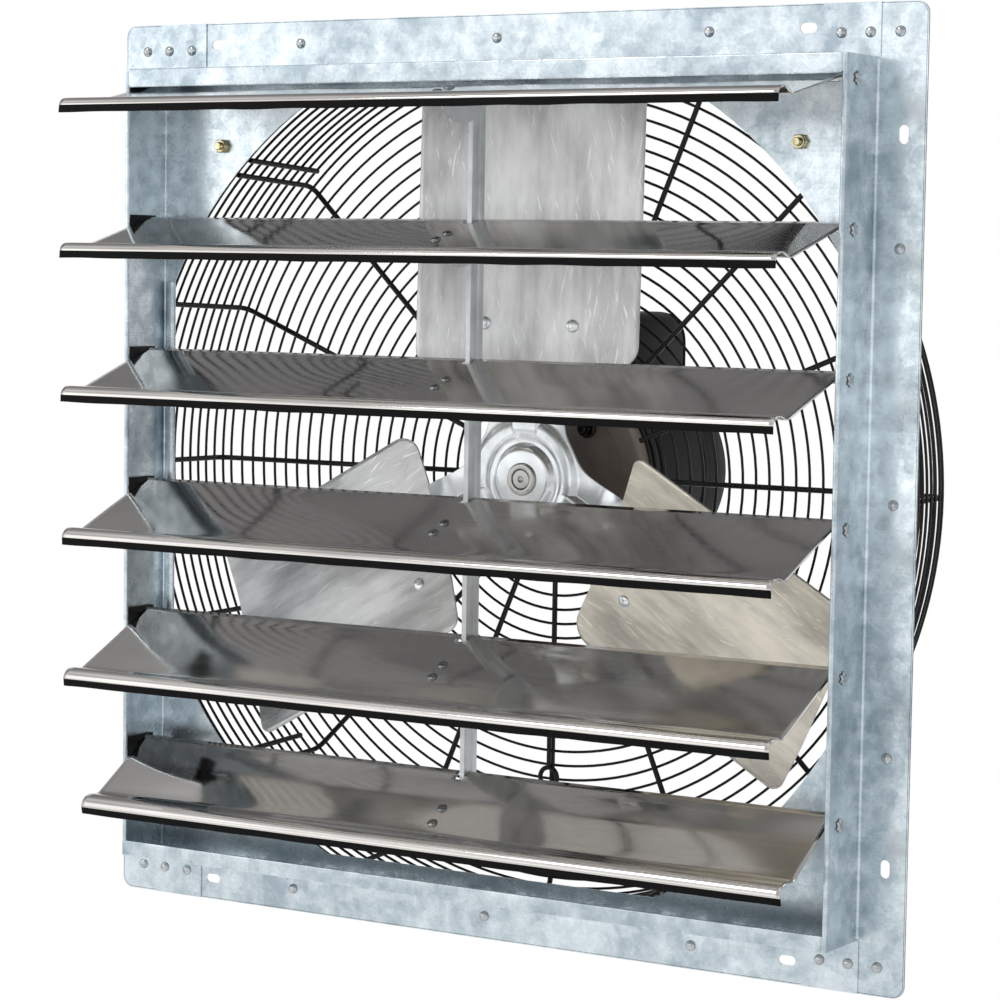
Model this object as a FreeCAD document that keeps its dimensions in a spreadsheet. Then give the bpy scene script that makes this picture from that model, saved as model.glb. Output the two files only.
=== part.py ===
import FreeCAD, Part
import math
import os
import re
import Sketcher

from FreeCAD import Placement, Rotation, Vector

# A gable mount shutter fan: a galvanised box with six self-closing louvers in front,
# a three-blade fan behind them and a wire guard that carries the motor at the back.
# Lengths are in millimetres and angles in degrees. X runs to the right, Y towards the
# motor and Z up. The origin is the centre of the flange's front face.

SIZES = {
    # Sheet-metal box and flange
    "gauge": 0.9,
    "flange_half": 345,
    "corner_round": 9,
    "flange_wide": 37.3,
    "box_depth": 47.8,
    "side_hem": 3.5,
    "top_lip": 12.5,
    "bottom_lip": 11,
    "tab_in": 41.7,
    "tab_out": 2.3,
    # Mounting slots and rivets
    "slot_edge": 16.5,
    "slot_inset": 53.3,
    "slot_width": 7,
    "slot_length": 13,
    "slot_room": 1,
    "rivet_edge": 17.3,
    "rivet_inset": 131.2,
    "corner_rivet_edge": 20.5,
    "corner_rivet_inset": 14,
    "corner_rivet_pitch": 22.1,
    "rivet_radius": 3.75,
    "rivet_rise": 1.8,
    # Air opening of the back panel
    "opening_inset": 11.2,
    "opening_bulge": 33.5,
    # Louvers
    "louver_count": 6,
    "pivot_drop": 16.3,
    "last_pivot_rise": 86.8,
    "pivot_inset": 15.5,
    "pin_radius": 2.6,
    "pin_play": 0.05,
    "pin_room": 1,
    "pin_inside": 27,
    "pin_out": 1,
    "pin_head_radius": 5.72,
    "pin_head_thick": 1.4,
    "pin_head_gap": 0.4,
    "plate_thick": 3,
    "plate_high": 16,
    "plate_over": 7,
    "plate_tail": 17.3,
    "plate_gap": 0.5,
    "louver_gap": 2.8,
    "louver_lap": 2.54,
    "last_louver_gap": 1.8,
    "louver_sheet": 0.8,
    "louver_tail": 8,
    "bead_start": 22,
    "bead_crest": 11,
    "bead_rise": 8,
    "lip_lean": 2.2,
    "lip_level": 7,
    "notch_left": 9,
    "notch_right": 7,
    "notch_deep": 2,
    "seal_drop": 4.6,
    "seal_lean": 2.2,
    "seal_foot": 1.2,
    "tilt_top": 12.5,
    "tilt_step": 3.5,
    "tilt_last": 33,
    "tilt_shut": 88,
    "tilt_shut_last": 79.5,
    # Louver arms and the bar that ties them together
    "arm_thick": 1.5,
    "arm_reach": 52,
    "arm_round": 40,
    "arm_side": 1,
    "arm_nose": 5.5,
    "arm_heel": 2,
    "crank_chord": 19.6,
    "crank_middle": 20.75,
    "crank_pin_radius": 2.5,
    "crank_hole_play": 1,
    "crank_head_rim": 0.7,
    "crank_head_thick": 1.2,
    "crank_head_gap": 0.4,
    "bar_inset": 1.3,
    "bar_wide": 24,
    "bar_thick": 1.2,
    "bar_edge": 4,
    "bar_drop": 6.4,
    "bar_below": 26.1,
    # Wire guard
    "wire_half": 2.1,
    "ring_wire": 2.2,
    "guard_out": 1,
    "guard_in": 9.5,
    "guard_depth": 97,
    "guard_bend": 6,
    "guard_ring_step": 11.05,
    "guard_ring_inset": 7.5,
    "guard_ring_room": 5,
    "guard_side_start": 15,
    "guard_side_step": 9.4,
    "guard_wire_gap": 0.3,
    "guard_wire_over": 3,
    "brace_drop": 8,
    "foot_half": 8,
    "foot_out": 22.6948,
    "bolt_radius": 3,
    "bolt_play": 0.3,
    "bolt_out": 3,
    "bolt_head": 4,
    "washer_thick": 1.5,
    "nut_half": 5,
    "nut_thick": 5,
    # Motor
    "bell_radius": 72,
    "bell_thick": 18,
    "rim_round": 7,
    "motor_step": 4,
    "motor_wall": 6,
    "shell_long": 88,
    "rear_bell_long": 42,
    "bearing_radius": 18,
    "bearing_wide": 10,
    "bearing_inset": 4,
    "rear_wall": 6,
    "shaft_room": 1.5,
    "shaft_gap": 1,
    "stator_bore": 42,
    "core_long": 65,
    "core_gap": 12,
    "air_gap": 0.84,
    "eye_reach": 45,
    "eye_radius": 7.6,
    "shaft_radius": 8,
    "shaft_nose": 5,
    "box_half_wide": 42,
    "box_rise": 50,
    "box_round": 28,
    "box_inset": 22.9,
    "box_long": 82,
    "box_sink": 22.8,
    "cover_thick": 2.5,
    "cover_gap": 2,
    "gland_drop": 24,
    "gland_radius": 11,
    "gland_nut": 5,
    "gland_cap_radius": 9,
    "gland_cap": 11,
    "gland_bore": 4.5,
    "gland_floor": 1.5,
    # Fan
    "blade_count": 3,
    "blade_lead": 1,
    "blade_plane": 48,
    "blade_pitch": 18,
    "blade_inner": 86,
    "blade_tip_gap": 11.5,
    "blade_half": 82,
    "blade_flat": 42,
    "blade_bend": 5,
    "blade_sheet": 1.5,
    "blade_round": 15,
    "plate_radius": 50.6,
    "arm_start": 30,
    "arm_root": 62,
    "arm_half": 33,
    "seat_half": 40,
    "seat_start": 94,
    "seat_end": 148,
    "seat_end_half": 34,
    "spider_sheet": 2.5,
    "boss_radius": 23,
    "boss_rise": 4,
    "collar_radius": 14,
    "collar_long": 22,
    "set_screw_radius": 3,
    "set_screw_out": 2,
    "blade_rivet_reach": 117,
    "blade_rivet_offset": 34,
    "blade_rivet_radius": 5,
    "blade_rivet_rise": 2,
}

# Sizes that follow from others: what fits in, seats on or lines up with another piece.
FITTED = {
    "box_half": "flange_half - flange_wide",
    "tab_start": "box_half - tab_in",
    "tab_end": "box_half + tab_out",
    "slot_reach": "flange_half - slot_edge",
    "slot_spread": "box_half - slot_inset",
    "rivet_reach": "flange_half - rivet_edge",
    "rivet_spread": "box_half - rivet_inset",
    "corner_rivet_reach": "flange_half - corner_rivet_edge",
    "corner_rivet_start": "tab_start + corner_rivet_inset",
    "opening_half": "box_half - opening_inset",
    "opening_radius": "opening_half + opening_bulge",
    "pivot_top": "box_half - pivot_drop",
    "pivot_pitch": "(pivot_top + box_half - last_pivot_rise) / (louver_count - 1)",
    "pivot_depth": "box_depth - pivot_inset",
    "pin_long": "pin_inside + pin_out",
    "plate_back": "pivot_depth - plate_tail",
    "louver_half": "box_half - gauge - plate_thick - louver_gap",
    "louver_depth": "pivot_pitch + louver_lap",
    "last_louver_depth": "last_pivot_rise - last_louver_gap",
    "bar_front": "pivot_depth - bar_inset",
    "bar_back": "bar_front - bar_wide",
    "bar_top": "pivot_top - bar_drop",
    "bar_bottom": "(louver_count - 1) * pivot_pitch - pivot_top + bar_below",
    "motor_radius": "bell_radius + motor_step",
    "guard_front_radius": "opening_radius + guard_out",
    "guard_back_radius": "guard_front_radius - guard_in",
    "guard_ring_first": "guard_back_radius - guard_ring_inset",
    "guard_back_rings": "floor((guard_ring_first - motor_radius - guard_ring_room) / guard_ring_step) + 1",
    "guard_side_rings": "floor((guard_depth - guard_bend - guard_side_start) / guard_side_step)",
    "bolt_reach": "(guard_front_radius + foot_out) / sqrt(2)",
    "shaft_start": "blade_plane - shaft_nose",
    "box_top": "motor_radius + box_rise",
    "box_start": "guard_depth + wire_half + bell_thick + box_inset",
    "box_foot": "motor_radius - box_sink",
    "blade_long": "opening_half - blade_tip_gap - blade_inner",
}

doc = FreeCAD.newDocument("GableShutterFan")
sheet = doc.addObject("Spreadsheet::Sheet", "Size")
for row, alias in enumerate([*SIZES, *FITTED], 1):
    sheet.set(f"A{row}", alias)
    sheet.setAlias(f"B{row}", alias)
    sheet.set(f"B{row}", f"={FITTED[alias]}" if alias in FITTED else str(SIZES[alias]))
doc.recompute()

ALIAS = re.compile(r"\b(" + "|".join([*SIZES, *FITTED]) + r")\b")
NODES = []

FAN_AXIS = Rotation(Vector(1, 0, 0), -90)
CROSS_AXIS = Rotation(Vector(0, 1, 0), 90)
FORWARD = Rotation(Vector(1, 0, 0), 90)

# Small round pieces are prisms with these numbers of sides.
HEAD_SIDES = 8
BOLT_SIDES = 12
COLLAR_SIDES = 16
CORE_SIDES = 24
SIDE_HOOP_SIDES = 32
BACK_HOOP_SIDES = 24
SMALL_HOOP_SIDES = 16
SMALL_HOOP_RADIUS = 200
GUARD_WIRES = 16


def bound(formula):
    """Return a formula of sheet names as an expression that reads the sheet."""
    return ALIAS.sub(r"Size.\1", str(formula))


def value(formula):
    """Return the present number of a formula of sheet names."""
    return float(sheet.evalExpression(bound(formula)))


def bind(item, **formulas):
    """Bind properties of an object to formulas of sheet names."""
    for name, formula in formulas.items():
        item.setExpression(name, bound(formula))
    return item


def place(item, x="0", y="0", z="0", turn=Rotation()):
    """Bind an object's position to formulas and give it a fixed turn."""
    item.Placement = Placement(Vector(value(x), value(y), value(z)), turn)
    for letter, formula in zip("xyz", (x, y, z)):
        item.setExpression(f"Placement.Base.{letter}", bound(formula))
    return item


def node(item, label):
    """Name a finished sub-part."""
    item.Label = label
    NODES.append(item)
    return item


def group(items):
    """Join separate solids in one compound."""
    compound = doc.addObject("Part::Compound", "Group")
    compound.Links = items
    return compound


def fuse(items):
    """Join touching solids in one solid."""
    joined = doc.addObject("Part::MultiFuse", "Fuse")
    joined.Shapes = items
    return joined


def cut(base, tool):
    """Take one solid away from another."""
    result = doc.addObject("Part::Cut", "Cut")
    result.Base = base
    result.Tool = tool
    return result


def cylinder(radius, height, x, y, z, turn):
    """Make a cylinder that starts at a point and runs along a turned axis."""
    rod = bind(doc.addObject("Part::Cylinder", "Cylinder"), Radius=radius, Height=height)
    return place(rod, x, y, z, turn)


def prism(sides, radius, height, x, y, z, turn):
    """Make a regular prism that starts at a point and runs along a turned axis."""
    block = doc.addObject("Part::Prism", "Prism")
    block.Polygon = sides
    bind(block, Circumradius=radius, Height=height)
    return place(block, x, y, z, turn)


def new_body(name):
    """Start a body."""
    return doc.addObject("PartDesign::Body", name)


def new_sketch(body, role, lift="0"):
    """Start a sketch on one of a body's origin planes, lifted along its normal."""
    plane = next(item for item in body.Origin.OriginFeatures if item.Role == role)
    sketch = body.newObject("Sketcher::SketchObject", "Sketch")
    sketch.AttachmentSupport = [(plane, "")]
    sketch.MapMode = "FlatFace"
    sketch.AttachmentOffset = Placement(Vector(0, 0, value(lift)), Rotation())
    sketch.setExpression("AttachmentOffset.Base.z", bound(lift))
    return sketch


def constrain(sketch, formula, kind, *where):
    """Add one driving dimension to a sketch and bind it to a formula."""
    index = sketch.addConstraint(Sketcher.Constraint(kind, *where, value(formula)))
    sketch.setExpression(f"Constraints[{index}]", bound(formula))


def pin_point(sketch, curve, end, x, y):
    """Hold a point of a sketch at two formulas."""
    constrain(sketch, x, "DistanceX", -1, 1, curve, end)
    constrain(sketch, y, "DistanceY", -1, 1, curve, end)


def arc_between(start, end, radius):
    """Return the short arc from start to end, turning left for a positive radius."""
    chord = end - start
    left = Vector(-chord.y, chord.x, 0).normalize()
    height = math.sqrt(max(radius * radius - chord.Length ** 2 / 4, 0))
    centre = (start + end) / 2 + left * math.copysign(height, radius)
    first, last = (start, end) if radius > 0 else (end, start)
    angles = [math.atan2(spot.y - centre.y, spot.x - centre.x) for spot in (first, last)]
    return Part.ArcOfCircle(Part.Circle(centre, Vector(0, 0, 1), abs(radius)), *angles)


def outline(sketch, points, closed=True):
    """Draw lines and arcs through points given as formulas.

    A point's third entry is the radius of the arc to the next point, which turns left
    when it is positive.
    """
    spots = [Vector(value(point[0]), value(point[1]), 0) for point in points]
    count = len(points) if closed else len(points) - 1
    ends = []
    for i in range(count):
        start, end = spots[i], spots[(i + 1) % len(spots)]
        radius = value(points[i][2]) if len(points[i]) > 2 else 0
        shape = arc_between(start, end, radius) if radius else Part.LineSegment(start, end)
        curve = sketch.addGeometry(shape)
        ends.append((curve, 1, 2) if radius >= 0 else (curve, 2, 1))
        if radius:
            constrain(sketch, f"abs({points[i][2]})", "Radius", curve)
    for i in range(count):
        pin_point(sketch, ends[i][0], ends[i][1], *points[i][:2])
    for i in range(count if closed else count - 1):
        after = ends[(i + 1) % count]
        joint = Sketcher.Constraint("Coincident", ends[i][0], ends[i][2], after[0], after[1])
        sketch.addConstraint(joint)
    if not closed:
        pin_point(sketch, ends[-1][0], ends[-1][2], *points[-1][:2])


def hole(sketch, x, y, radius):
    """Draw a circle in a sketch."""
    centre = Vector(value(x), value(y), 0)
    curve = sketch.addGeometry(Part.Circle(centre, Vector(0, 0, 1), value(radius)))
    pin_point(sketch, curve, 3, x, y)
    constrain(sketch, radius, "Radius", curve)


def polygon(sketch, x, y, sides, apothem):
    """Draw a regular polygon in a sketch, with flats at a distance from its centre."""
    corners = []
    for i in range(sides):
        angle = f"({360 / sides} * {i + 0.5} * 1 deg)"
        reach = f"({apothem}) / cos({180 / sides} * 1 deg)"
        corners.append((f"{x} + {reach} * cos{angle}", f"{y} + {reach} * sin{angle}"))
    outline(sketch, corners)


def slot(sketch, x, y, upright):
    """Draw one mounting slot in a sketch, as two straight sides and two round ends."""
    reach = "(slot_length - slot_width) / 2"
    half = "slot_width / 2"
    tip = "slot_length / 2"
    corners = [(f"-1 * {reach}", f"-1 * {half}"), (reach, f"-1 * {half}", half), (tip, "0", half),
               (reach, half), (f"-1 * {reach}", half, half), (f"-1 * {tip}", "0", half)]
    points = []
    for along, across, *radius in corners:
        shift = (f"-1 * ({across})", along) if upright else (along, across)
        points.append((f"{x} + {shift[0]}", f"{y} + {shift[1]}", *radius))
    outline(sketch, points)


def pad(body, sketch, length, backwards=False):
    """Pad a sketch along its normal, or against it."""
    feature = body.newObject("PartDesign::Pad", "Pad")
    feature.Profile = sketch
    feature.Reversed = backwards
    bind(feature, Length=length)
    doc.recompute()
    return feature


def pocket(body, sketch, length):
    """Cut a sketch into a body against its normal, and make sure that it removed something."""
    before = body.Shape.Volume
    feature = body.newObject("PartDesign::Pocket", "Pocket")
    feature.Profile = sketch
    bind(feature, Length=length)
    doc.recompute()
    if not body.Shape.Volume < before:
        raise ValueError(f"{body.Label}: the pocket removed nothing")


def turned(name, points):
    """Make a solid of revolution about the fan's axis from (radius, depth) points."""
    body = new_body(name)
    sketch = new_sketch(body, "XY_Plane")
    outline(sketch, points)
    feature = body.newObject("PartDesign::Revolution", "Revolution")
    feature.Profile = sketch
    feature.ReferenceAxis = (sketch, ["V_Axis"])
    feature.Angle = 360
    doc.recompute()
    return body


def extruded(name, role, lift, points, length, backwards=False):
    """Make a body by padding one outline."""
    body = new_body(name)
    sketch = new_sketch(body, role, lift)
    outline(sketch, points)
    pad(body, sketch, length, backwards)
    return body


def louver_numbers():
    """Return the louvers' numbers, counted from the top."""
    return range(int(value("louver_count")))


def pivot_height(i):
    """Return the height of a louver's pivot."""
    return f"(pivot_top - {i} * pivot_pitch)"


def is_last(i):
    """Return whether a louver is the lowest one."""
    return i == int(value("louver_count")) - 1


def tilt(i):
    """Return a louver's rest angle, front edge down."""
    return "tilt_last" if is_last(i) else f"(tilt_top + {i} * tilt_step)"


def travel(i):
    """Return the angle from a louver's rest position to shut."""
    return f"({'tilt_shut_last' if is_last(i) else 'tilt_shut'} - {tilt(i)})"


def crank(i):
    """Return a louver's crank pin, from the pivot, in the louver's own untilted frame.

    Every crank turns through the same chord, so one straight bar can drive louvers that
    turn by different angles.
    """
    radius = f"(crank_chord / 2 / sin({travel(i)} / 2 * 1 deg))"
    angle = f"((crank_middle + {travel(i)} / 2 + {tilt(i)}) * 1 deg)"
    return f"({radius} * cos({angle}))", f"(-1 * {radius} * sin({angle}))"


def crank_place(i):
    """Return a louver's crank pin at rest as (y, z) in the object's frame."""
    radius = f"(crank_chord / 2 / sin({travel(i)} / 2 * 1 deg))"
    angle = f"((crank_middle + {travel(i)} / 2) * 1 deg)"
    return (f"(-1 * pivot_depth + {radius} * cos({angle}))",
            f"({pivot_height(i)} - {radius} * sin({angle}))")


def make_side_frame(label, side):
    """Make one upright of the box: a hemmed wall, a flange and two tabs over the corners."""
    body = new_body(label)
    wall = new_sketch(body, "XY_Plane", "gauge - box_half")
    inner = f"{side} * (box_half - gauge)"
    outer = f"{side} * box_half"
    outline(wall, [
        (f"{side} * (box_half - side_hem)", "-1 * box_depth"),
        (outer, "-1 * box_depth"),
        (outer, "0"),
        (f"{side} * tab_end", "0"),
        (f"{side} * tab_end", "gauge"),
        (inner, "gauge"),
        (inner, "gauge - box_depth"),
        (f"{side} * (box_half - side_hem)", "gauge - box_depth"),
    ])
    pad(body, wall, "2 * (box_half - gauge)")

    flange = new_sketch(body, "XZ_Plane")
    edge = f"{side} * flange_half"
    turn = f"{side} * corner_round"
    round_start = f"{side} * (flange_half - corner_round)"
    outline(flange, [
        (f"{side} * box_half", "-1 * flange_half"),
        (round_start, "-1 * flange_half", turn),
        (edge, "corner_round - flange_half"),
        (edge, "flange_half - corner_round", turn),
        (round_start, "flange_half"),
        (f"{side} * box_half", "flange_half"),
    ])
    for end in (-1, 1):
        slot(flange, f"{side} * slot_reach", f"{end} * slot_spread", True)
    pad(body, flange, "gauge", backwards=True)

    for end in (-1, 1):
        tab = new_sketch(body, "XZ_Plane")
        outline(tab, [
            (f"{side} * tab_start", f"{end} * box_half"),
            (f"{side} * tab_end", f"{end} * box_half"),
            (f"{side} * tab_end", f"{end} * flange_half"),
            (f"{side} * tab_start", f"{end} * flange_half"),
        ])
        pad(body, tab, "gauge")

    start = "box_half + gauge" if side > 0 else "2 * gauge - box_half"
    pivots = new_sketch(body, "YZ_Plane", start)
    for i in louver_numbers():
        polygon(pivots, "-1 * pivot_depth", pivot_height(i), 4, "pin_radius + pin_room")
    pocket(body, pivots, "3 * gauge")
    return node(body, label)


def make_cross_frame(label, side, lip):
    """Make the box's top or bottom: a wall with a front lip, and a slotted flange."""
    body = new_body(label)
    wall = new_sketch(body, "YZ_Plane", "-1 * box_half")
    outer = f"{side} * box_half"
    inner = f"{side} * (box_half - gauge)"
    outline(wall, [
        ("-1 * box_depth - gauge", outer),
        ("-1 * box_depth - gauge", f"{side} * (box_half - {lip})"),
        ("-1 * box_depth", f"{side} * (box_half - {lip})"),
        ("-1 * box_depth", inner),
        ("0", inner),
        ("0", outer),
    ])
    pad(body, wall, "2 * box_half")
    flange = new_sketch(body, "XZ_Plane")
    outline(flange, [
        ("-1 * box_half", inner),
        ("box_half", inner),
        ("box_half", f"{side} * flange_half"),
        ("-1 * box_half", f"{side} * flange_half"),
    ])
    for end in (-1, 1):
        slot(flange, f"{end} * slot_spread", f"{side} * slot_reach", False)
    pad(body, flange, "gauge", backwards=True)
    return node(body, label)


def clearance(sketch, x, y, upright):
    """Draw the plain opening that leaves a mounting slot free."""
    wide, high = ("slot_width", "slot_length") if upright else ("slot_length", "slot_width")
    left, right = f"{x} - {wide} / 2 - slot_room", f"{x} + {wide} / 2 + slot_room"
    low, top = f"{y} - {high} / 2 - slot_room", f"{y} + {high} / 2 + slot_room"
    outline(sketch, [(left, low), (right, low), (right, top), (left, top)])


def make_venturi_panel():
    """Make the back panel: a round air opening cut off straight at the box's walls."""
    body = new_body("venturi_panel")
    sketch = new_sketch(body, "XZ_Plane", "-1 * gauge")
    straight = "(flange_half - corner_round)"
    outline(sketch, [
        (f"-1 * {straight}", "-1 * flange_half"),
        (straight, "-1 * flange_half", "corner_round"),
        ("flange_half", f"-1 * {straight}"),
        ("flange_half", straight, "corner_round"),
        (straight, "flange_half"),
        (f"-1 * {straight}", "flange_half", "corner_round"),
        ("-1 * flange_half", straight),
        ("-1 * flange_half", f"-1 * {straight}", "corner_round"),
    ])
    reach = "sqrt(opening_radius ^ 2 - opening_half ^ 2)"
    outline(sketch, [
        (f"-1 * {reach}", "-1 * opening_half"),
        (reach, "-1 * opening_half", "opening_radius"),
        ("opening_half", f"-1 * {reach}"),
        ("opening_half", reach, "opening_radius"),
        (reach, "opening_half"),
        (f"-1 * {reach}", "opening_half", "opening_radius"),
        ("-1 * opening_half", reach),
        ("-1 * opening_half", f"-1 * {reach}", "opening_radius"),
    ])
    for side in (-1, 1):
        for end in (-1, 1):
            clearance(sketch, f"{side} * slot_reach", f"{end} * slot_spread", True)
            clearance(sketch, f"{end} * slot_spread", f"{side} * slot_reach", False)
            polygon(sketch, f"{side} * bolt_reach", f"{end} * bolt_reach", BOLT_SIDES,
                    "bolt_radius + bolt_play")
    pad(body, sketch, "gauge", backwards=True)
    return node(body, "venturi_panel")


def rivet_head(x, y, z):
    """Make one rivet head that stands on a face and points forward."""
    return prism(HEAD_SIDES, "rivet_radius", "rivet_rise", x, y, z, FORWARD)


def make_frame_rivets():
    """Make the rivets through the corner tabs and those along the four flanges."""
    corner = []
    for side in (-1, 1):
        for end in (-1, 1):
            for i in range(3):
                seat = "0" if i == 2 else "-1 * gauge"
                x = f"{side} * (corner_rivet_start + {i} * corner_rivet_pitch)"
                corner.append(rivet_head(x, seat, f"{end} * corner_rivet_reach"))
    node(group(corner), "corner_rivets")
    along = []
    for side in (-1, 1):
        for step in (-1, 0, 1):
            run = f"{step} * rivet_spread"
            along.append(rivet_head(run, "0", f"{side} * rivet_reach"))
            along.append(rivet_head(f"{side} * rivet_reach", "0", run))
    node(group(along), "flange_rivets")


def make_pivot_plates(label, side):
    """Make the bearing plates for one end of every louver, on the inside of a box wall."""
    plates = []
    for i in louver_numbers():
        start = "box_half - gauge - plate_thick" if side > 0 else "gauge - box_half"
        body = new_body("Plate")
        sketch = new_sketch(body, "YZ_Plane", start)
        top = f"{pivot_height(i)} + plate_over"
        outline(sketch, [
            ("gauge - box_depth + plate_gap", f"{top} - plate_high"),
            ("-1 * plate_back", f"{top} - plate_high"),
            ("-1 * plate_back", top),
            ("gauge - box_depth + plate_gap", top),
        ])
        polygon(sketch, "-1 * pivot_depth", pivot_height(i), HEAD_SIDES, "pin_radius + pin_play")
        pad(body, sketch, "plate_thick")
        plates.append(body)
    node(group(plates), label)


def hang(body, i):
    """Put a louver's piece on its pivot at the louver's rest angle."""
    place(body, "0", "-1 * pivot_depth", pivot_height(i), Rotation(Vector(1, 0, 0), value(tilt(i))))
    body.setExpression("Placement.Rotation.Angle", bound(tilt(i)))
    return body


def make_louver(i):
    """Make one louver blade: a flat sheet with a raised bead and a lip along its front edge."""
    depth = "last_louver_depth" if is_last(i) else "louver_depth"
    under = "pin_radius"
    over = "pin_radius + louver_sheet"
    body = new_body(f"Louver{i}")
    sketch = new_sketch(body, "YZ_Plane", "-1 * louver_half")
    outline(sketch, [
        ("louver_tail", under),
        ("louver_tail", over),
        (f"bead_start - {depth}", over),
        (f"bead_crest - {depth}", f"{over} + bead_rise - louver_sheet"),
        (f"lip_lean - {depth}", f"{over} + bead_rise"),
        (f"-1 * {depth}", "lip_level"),
        (f"louver_sheet - {depth}", "lip_level"),
        (f"lip_lean + louver_sheet - {depth}", f"{under} + bead_rise - louver_sheet / 4"),
        (f"bead_crest - {depth}", f"{under} + bead_rise - louver_sheet"),
        (f"bead_start - louver_sheet / 2 - {depth}", under),
    ])
    pad(body, sketch, "2 * louver_half")
    notch = new_sketch(body, "XY_Plane", f"{over} + louver_sheet")
    outline(notch, [
        ("-1 * notch_left", "-1 * notch_deep"),
        ("notch_right", "-1 * notch_deep"),
        ("notch_right", "louver_tail + louver_sheet"),
        ("-1 * notch_left", "louver_tail + louver_sheet"),
    ])
    pocket(body, notch, "3 * louver_sheet")
    node(hang(body, i), f"louver_{i + 1}")

    seal = extruded(f"Seal{i}", "YZ_Plane", "-1 * louver_half", [
        (f"-1 * {depth}", "lip_level"),
        (f"-1 * {depth} - seal_lean", "lip_level - seal_drop"),
        (f"-1 * {depth} - seal_lean + seal_foot", "lip_level - seal_drop - seal_foot / 4"),
        (f"louver_sheet - {depth}", "lip_level"),
    ], "2 * louver_half")
    node(hang(seal, i), f"louver_seal_{i + 1}")


def make_louver_pins(i):
    """Make a louver's two pivot pins, each headed on the outside of the box wall."""
    pins = []
    for side in (-1, 1):
        turn = CROSS_AXIS if side > 0 else CROSS_AXIS.inverted()
        where = ("-1 * pivot_depth", pivot_height(i))
        stem = cylinder("pin_radius", "pin_long", f"{side} * (box_half - pin_inside)", *where, turn)
        head = prism(HEAD_SIDES, "pin_head_radius", "pin_head_thick", f"{side} * (box_half + pin_head_gap)",
                     *where, turn)
        pins.append(fuse([stem, head]))
    node(group(pins), f"louver_pins_{i + 1}")


def make_louver_arm(i):
    """Make the arm under a louver, with the crank pin that works the tie bar."""
    y, z = crank(i)
    body = new_body(f"Arm{i}")
    plate = new_sketch(body, "YZ_Plane", "arm_side")
    outline(plate, [
        ("-1 * arm_reach", "pin_radius", "arm_round"),
        (f"{y} - arm_nose * sin(16 deg)", f"{z} - arm_nose * cos(16 deg)", "arm_nose"),
        (f"{y} + arm_nose * cos(9 deg)", f"{z} + arm_nose * sin(9 deg)"),
        ("louver_tail + arm_heel", "pin_radius"),
    ])
    pad(body, plate, "arm_thick")
    head_end = "-1 * bar_thick - crank_head_gap"
    stem = new_sketch(body, "YZ_Plane", head_end)
    hole(stem, y, z, "crank_pin_radius")
    pad(body, stem, "bar_thick + crank_head_gap + arm_side")
    head = new_sketch(body, "YZ_Plane", f"{head_end} - crank_head_thick")
    polygon(head, y, z, HEAD_SIDES, "crank_pin_radius + crank_hole_play + crank_head_rim")
    pad(body, head, "crank_head_thick")
    node(hang(body, i), f"louver_arm_{i + 1}")


def master_louver():
    """Return the number of the louver whose crank pin carries the tie bar."""
    return 3


def make_tie_bar():
    """Make the upright channel that joins the louvers' crank pins."""
    body = extruded("TieBar", "XY_Plane", "-1 * bar_bottom", [
        ("0", "-1 * bar_front"),
        ("0", "-1 * bar_back"),
        ("-1 * bar_edge", "-1 * bar_back"),
        ("-1 * bar_edge", "-1 * bar_back - bar_thick"),
        ("-1 * bar_thick", "-1 * bar_back - bar_thick"),
        ("-1 * bar_thick", "bar_thick - bar_front"),
        ("-1 * bar_edge", "bar_thick - bar_front"),
        ("-1 * bar_edge", "-1 * bar_front"),
    ], "bar_bottom + bar_top")
    holes = new_sketch(body, "YZ_Plane", "bar_thick")
    for i in louver_numbers():
        if i == master_louver():
            hole(holes, *crank_place(i), "crank_pin_radius + pin_play")
        else:
            polygon(holes, *crank_place(i), HEAD_SIDES, "crank_pin_radius + crank_hole_play")
    pocket(body, holes, "3 * bar_thick")
    node(body, "tie_bar")


def guard_taper():
    """Return how much the guard's side loses in radius for each unit of depth."""
    return "((guard_front_radius - guard_back_radius) / guard_depth)"


def ring(sides, inner, wide, deep, start, half_step):
    """Make one guard ring as a many-sided hoop that starts at a depth."""
    turn = FAN_AXIS.multiply(Rotation(Vector(0, 0, 1), 180 / sides if half_step else 0))
    widen = f"/ cos(180 / {sides} * 1 deg)"
    outside = prism(sides, f"({inner} + {wide}) {widen}", deep, "0", start, "0", turn)
    inside = prism(sides, f"({inner}) {widen}", deep, "0", start, "0", turn)
    return cut(outside, inside)


def make_guard_rings():
    """Make the guard's hoops: a front hoop, those up the side and those across the back."""
    foot_back = "2 * gauge + 2 * wire_half"
    front = ring(SIDE_HOOP_SIDES, f"guard_front_radius + wire_half - {guard_taper()} * ({foot_back})",
                 "2 * wire_half", "2 * wire_half", foot_back, True)
    side = [front]
    for i in range(int(value("guard_side_rings"))):
        start = f"(guard_side_start + {i} * guard_side_step)"
        inner = f"guard_front_radius - {guard_taper()} * {start} + wire_half"
        side.append(ring(SIDE_HOOP_SIDES, inner, "ring_wire", "ring_wire", start, True))
    node(group(side), "guard_side_rings")
    back = []
    for i in range(int(value("guard_back_rings"))):
        middle = f"(guard_ring_first - {i} * guard_ring_step)"
        sides = BACK_HOOP_SIDES if value(middle) > SMALL_HOOP_RADIUS else SMALL_HOOP_SIDES
        back.append(ring(sides, f"{middle} - ring_wire / 2", "ring_wire", "ring_wire",
                         "guard_depth + wire_half", False))
    node(group(back), "guard_back_rings")


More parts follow.
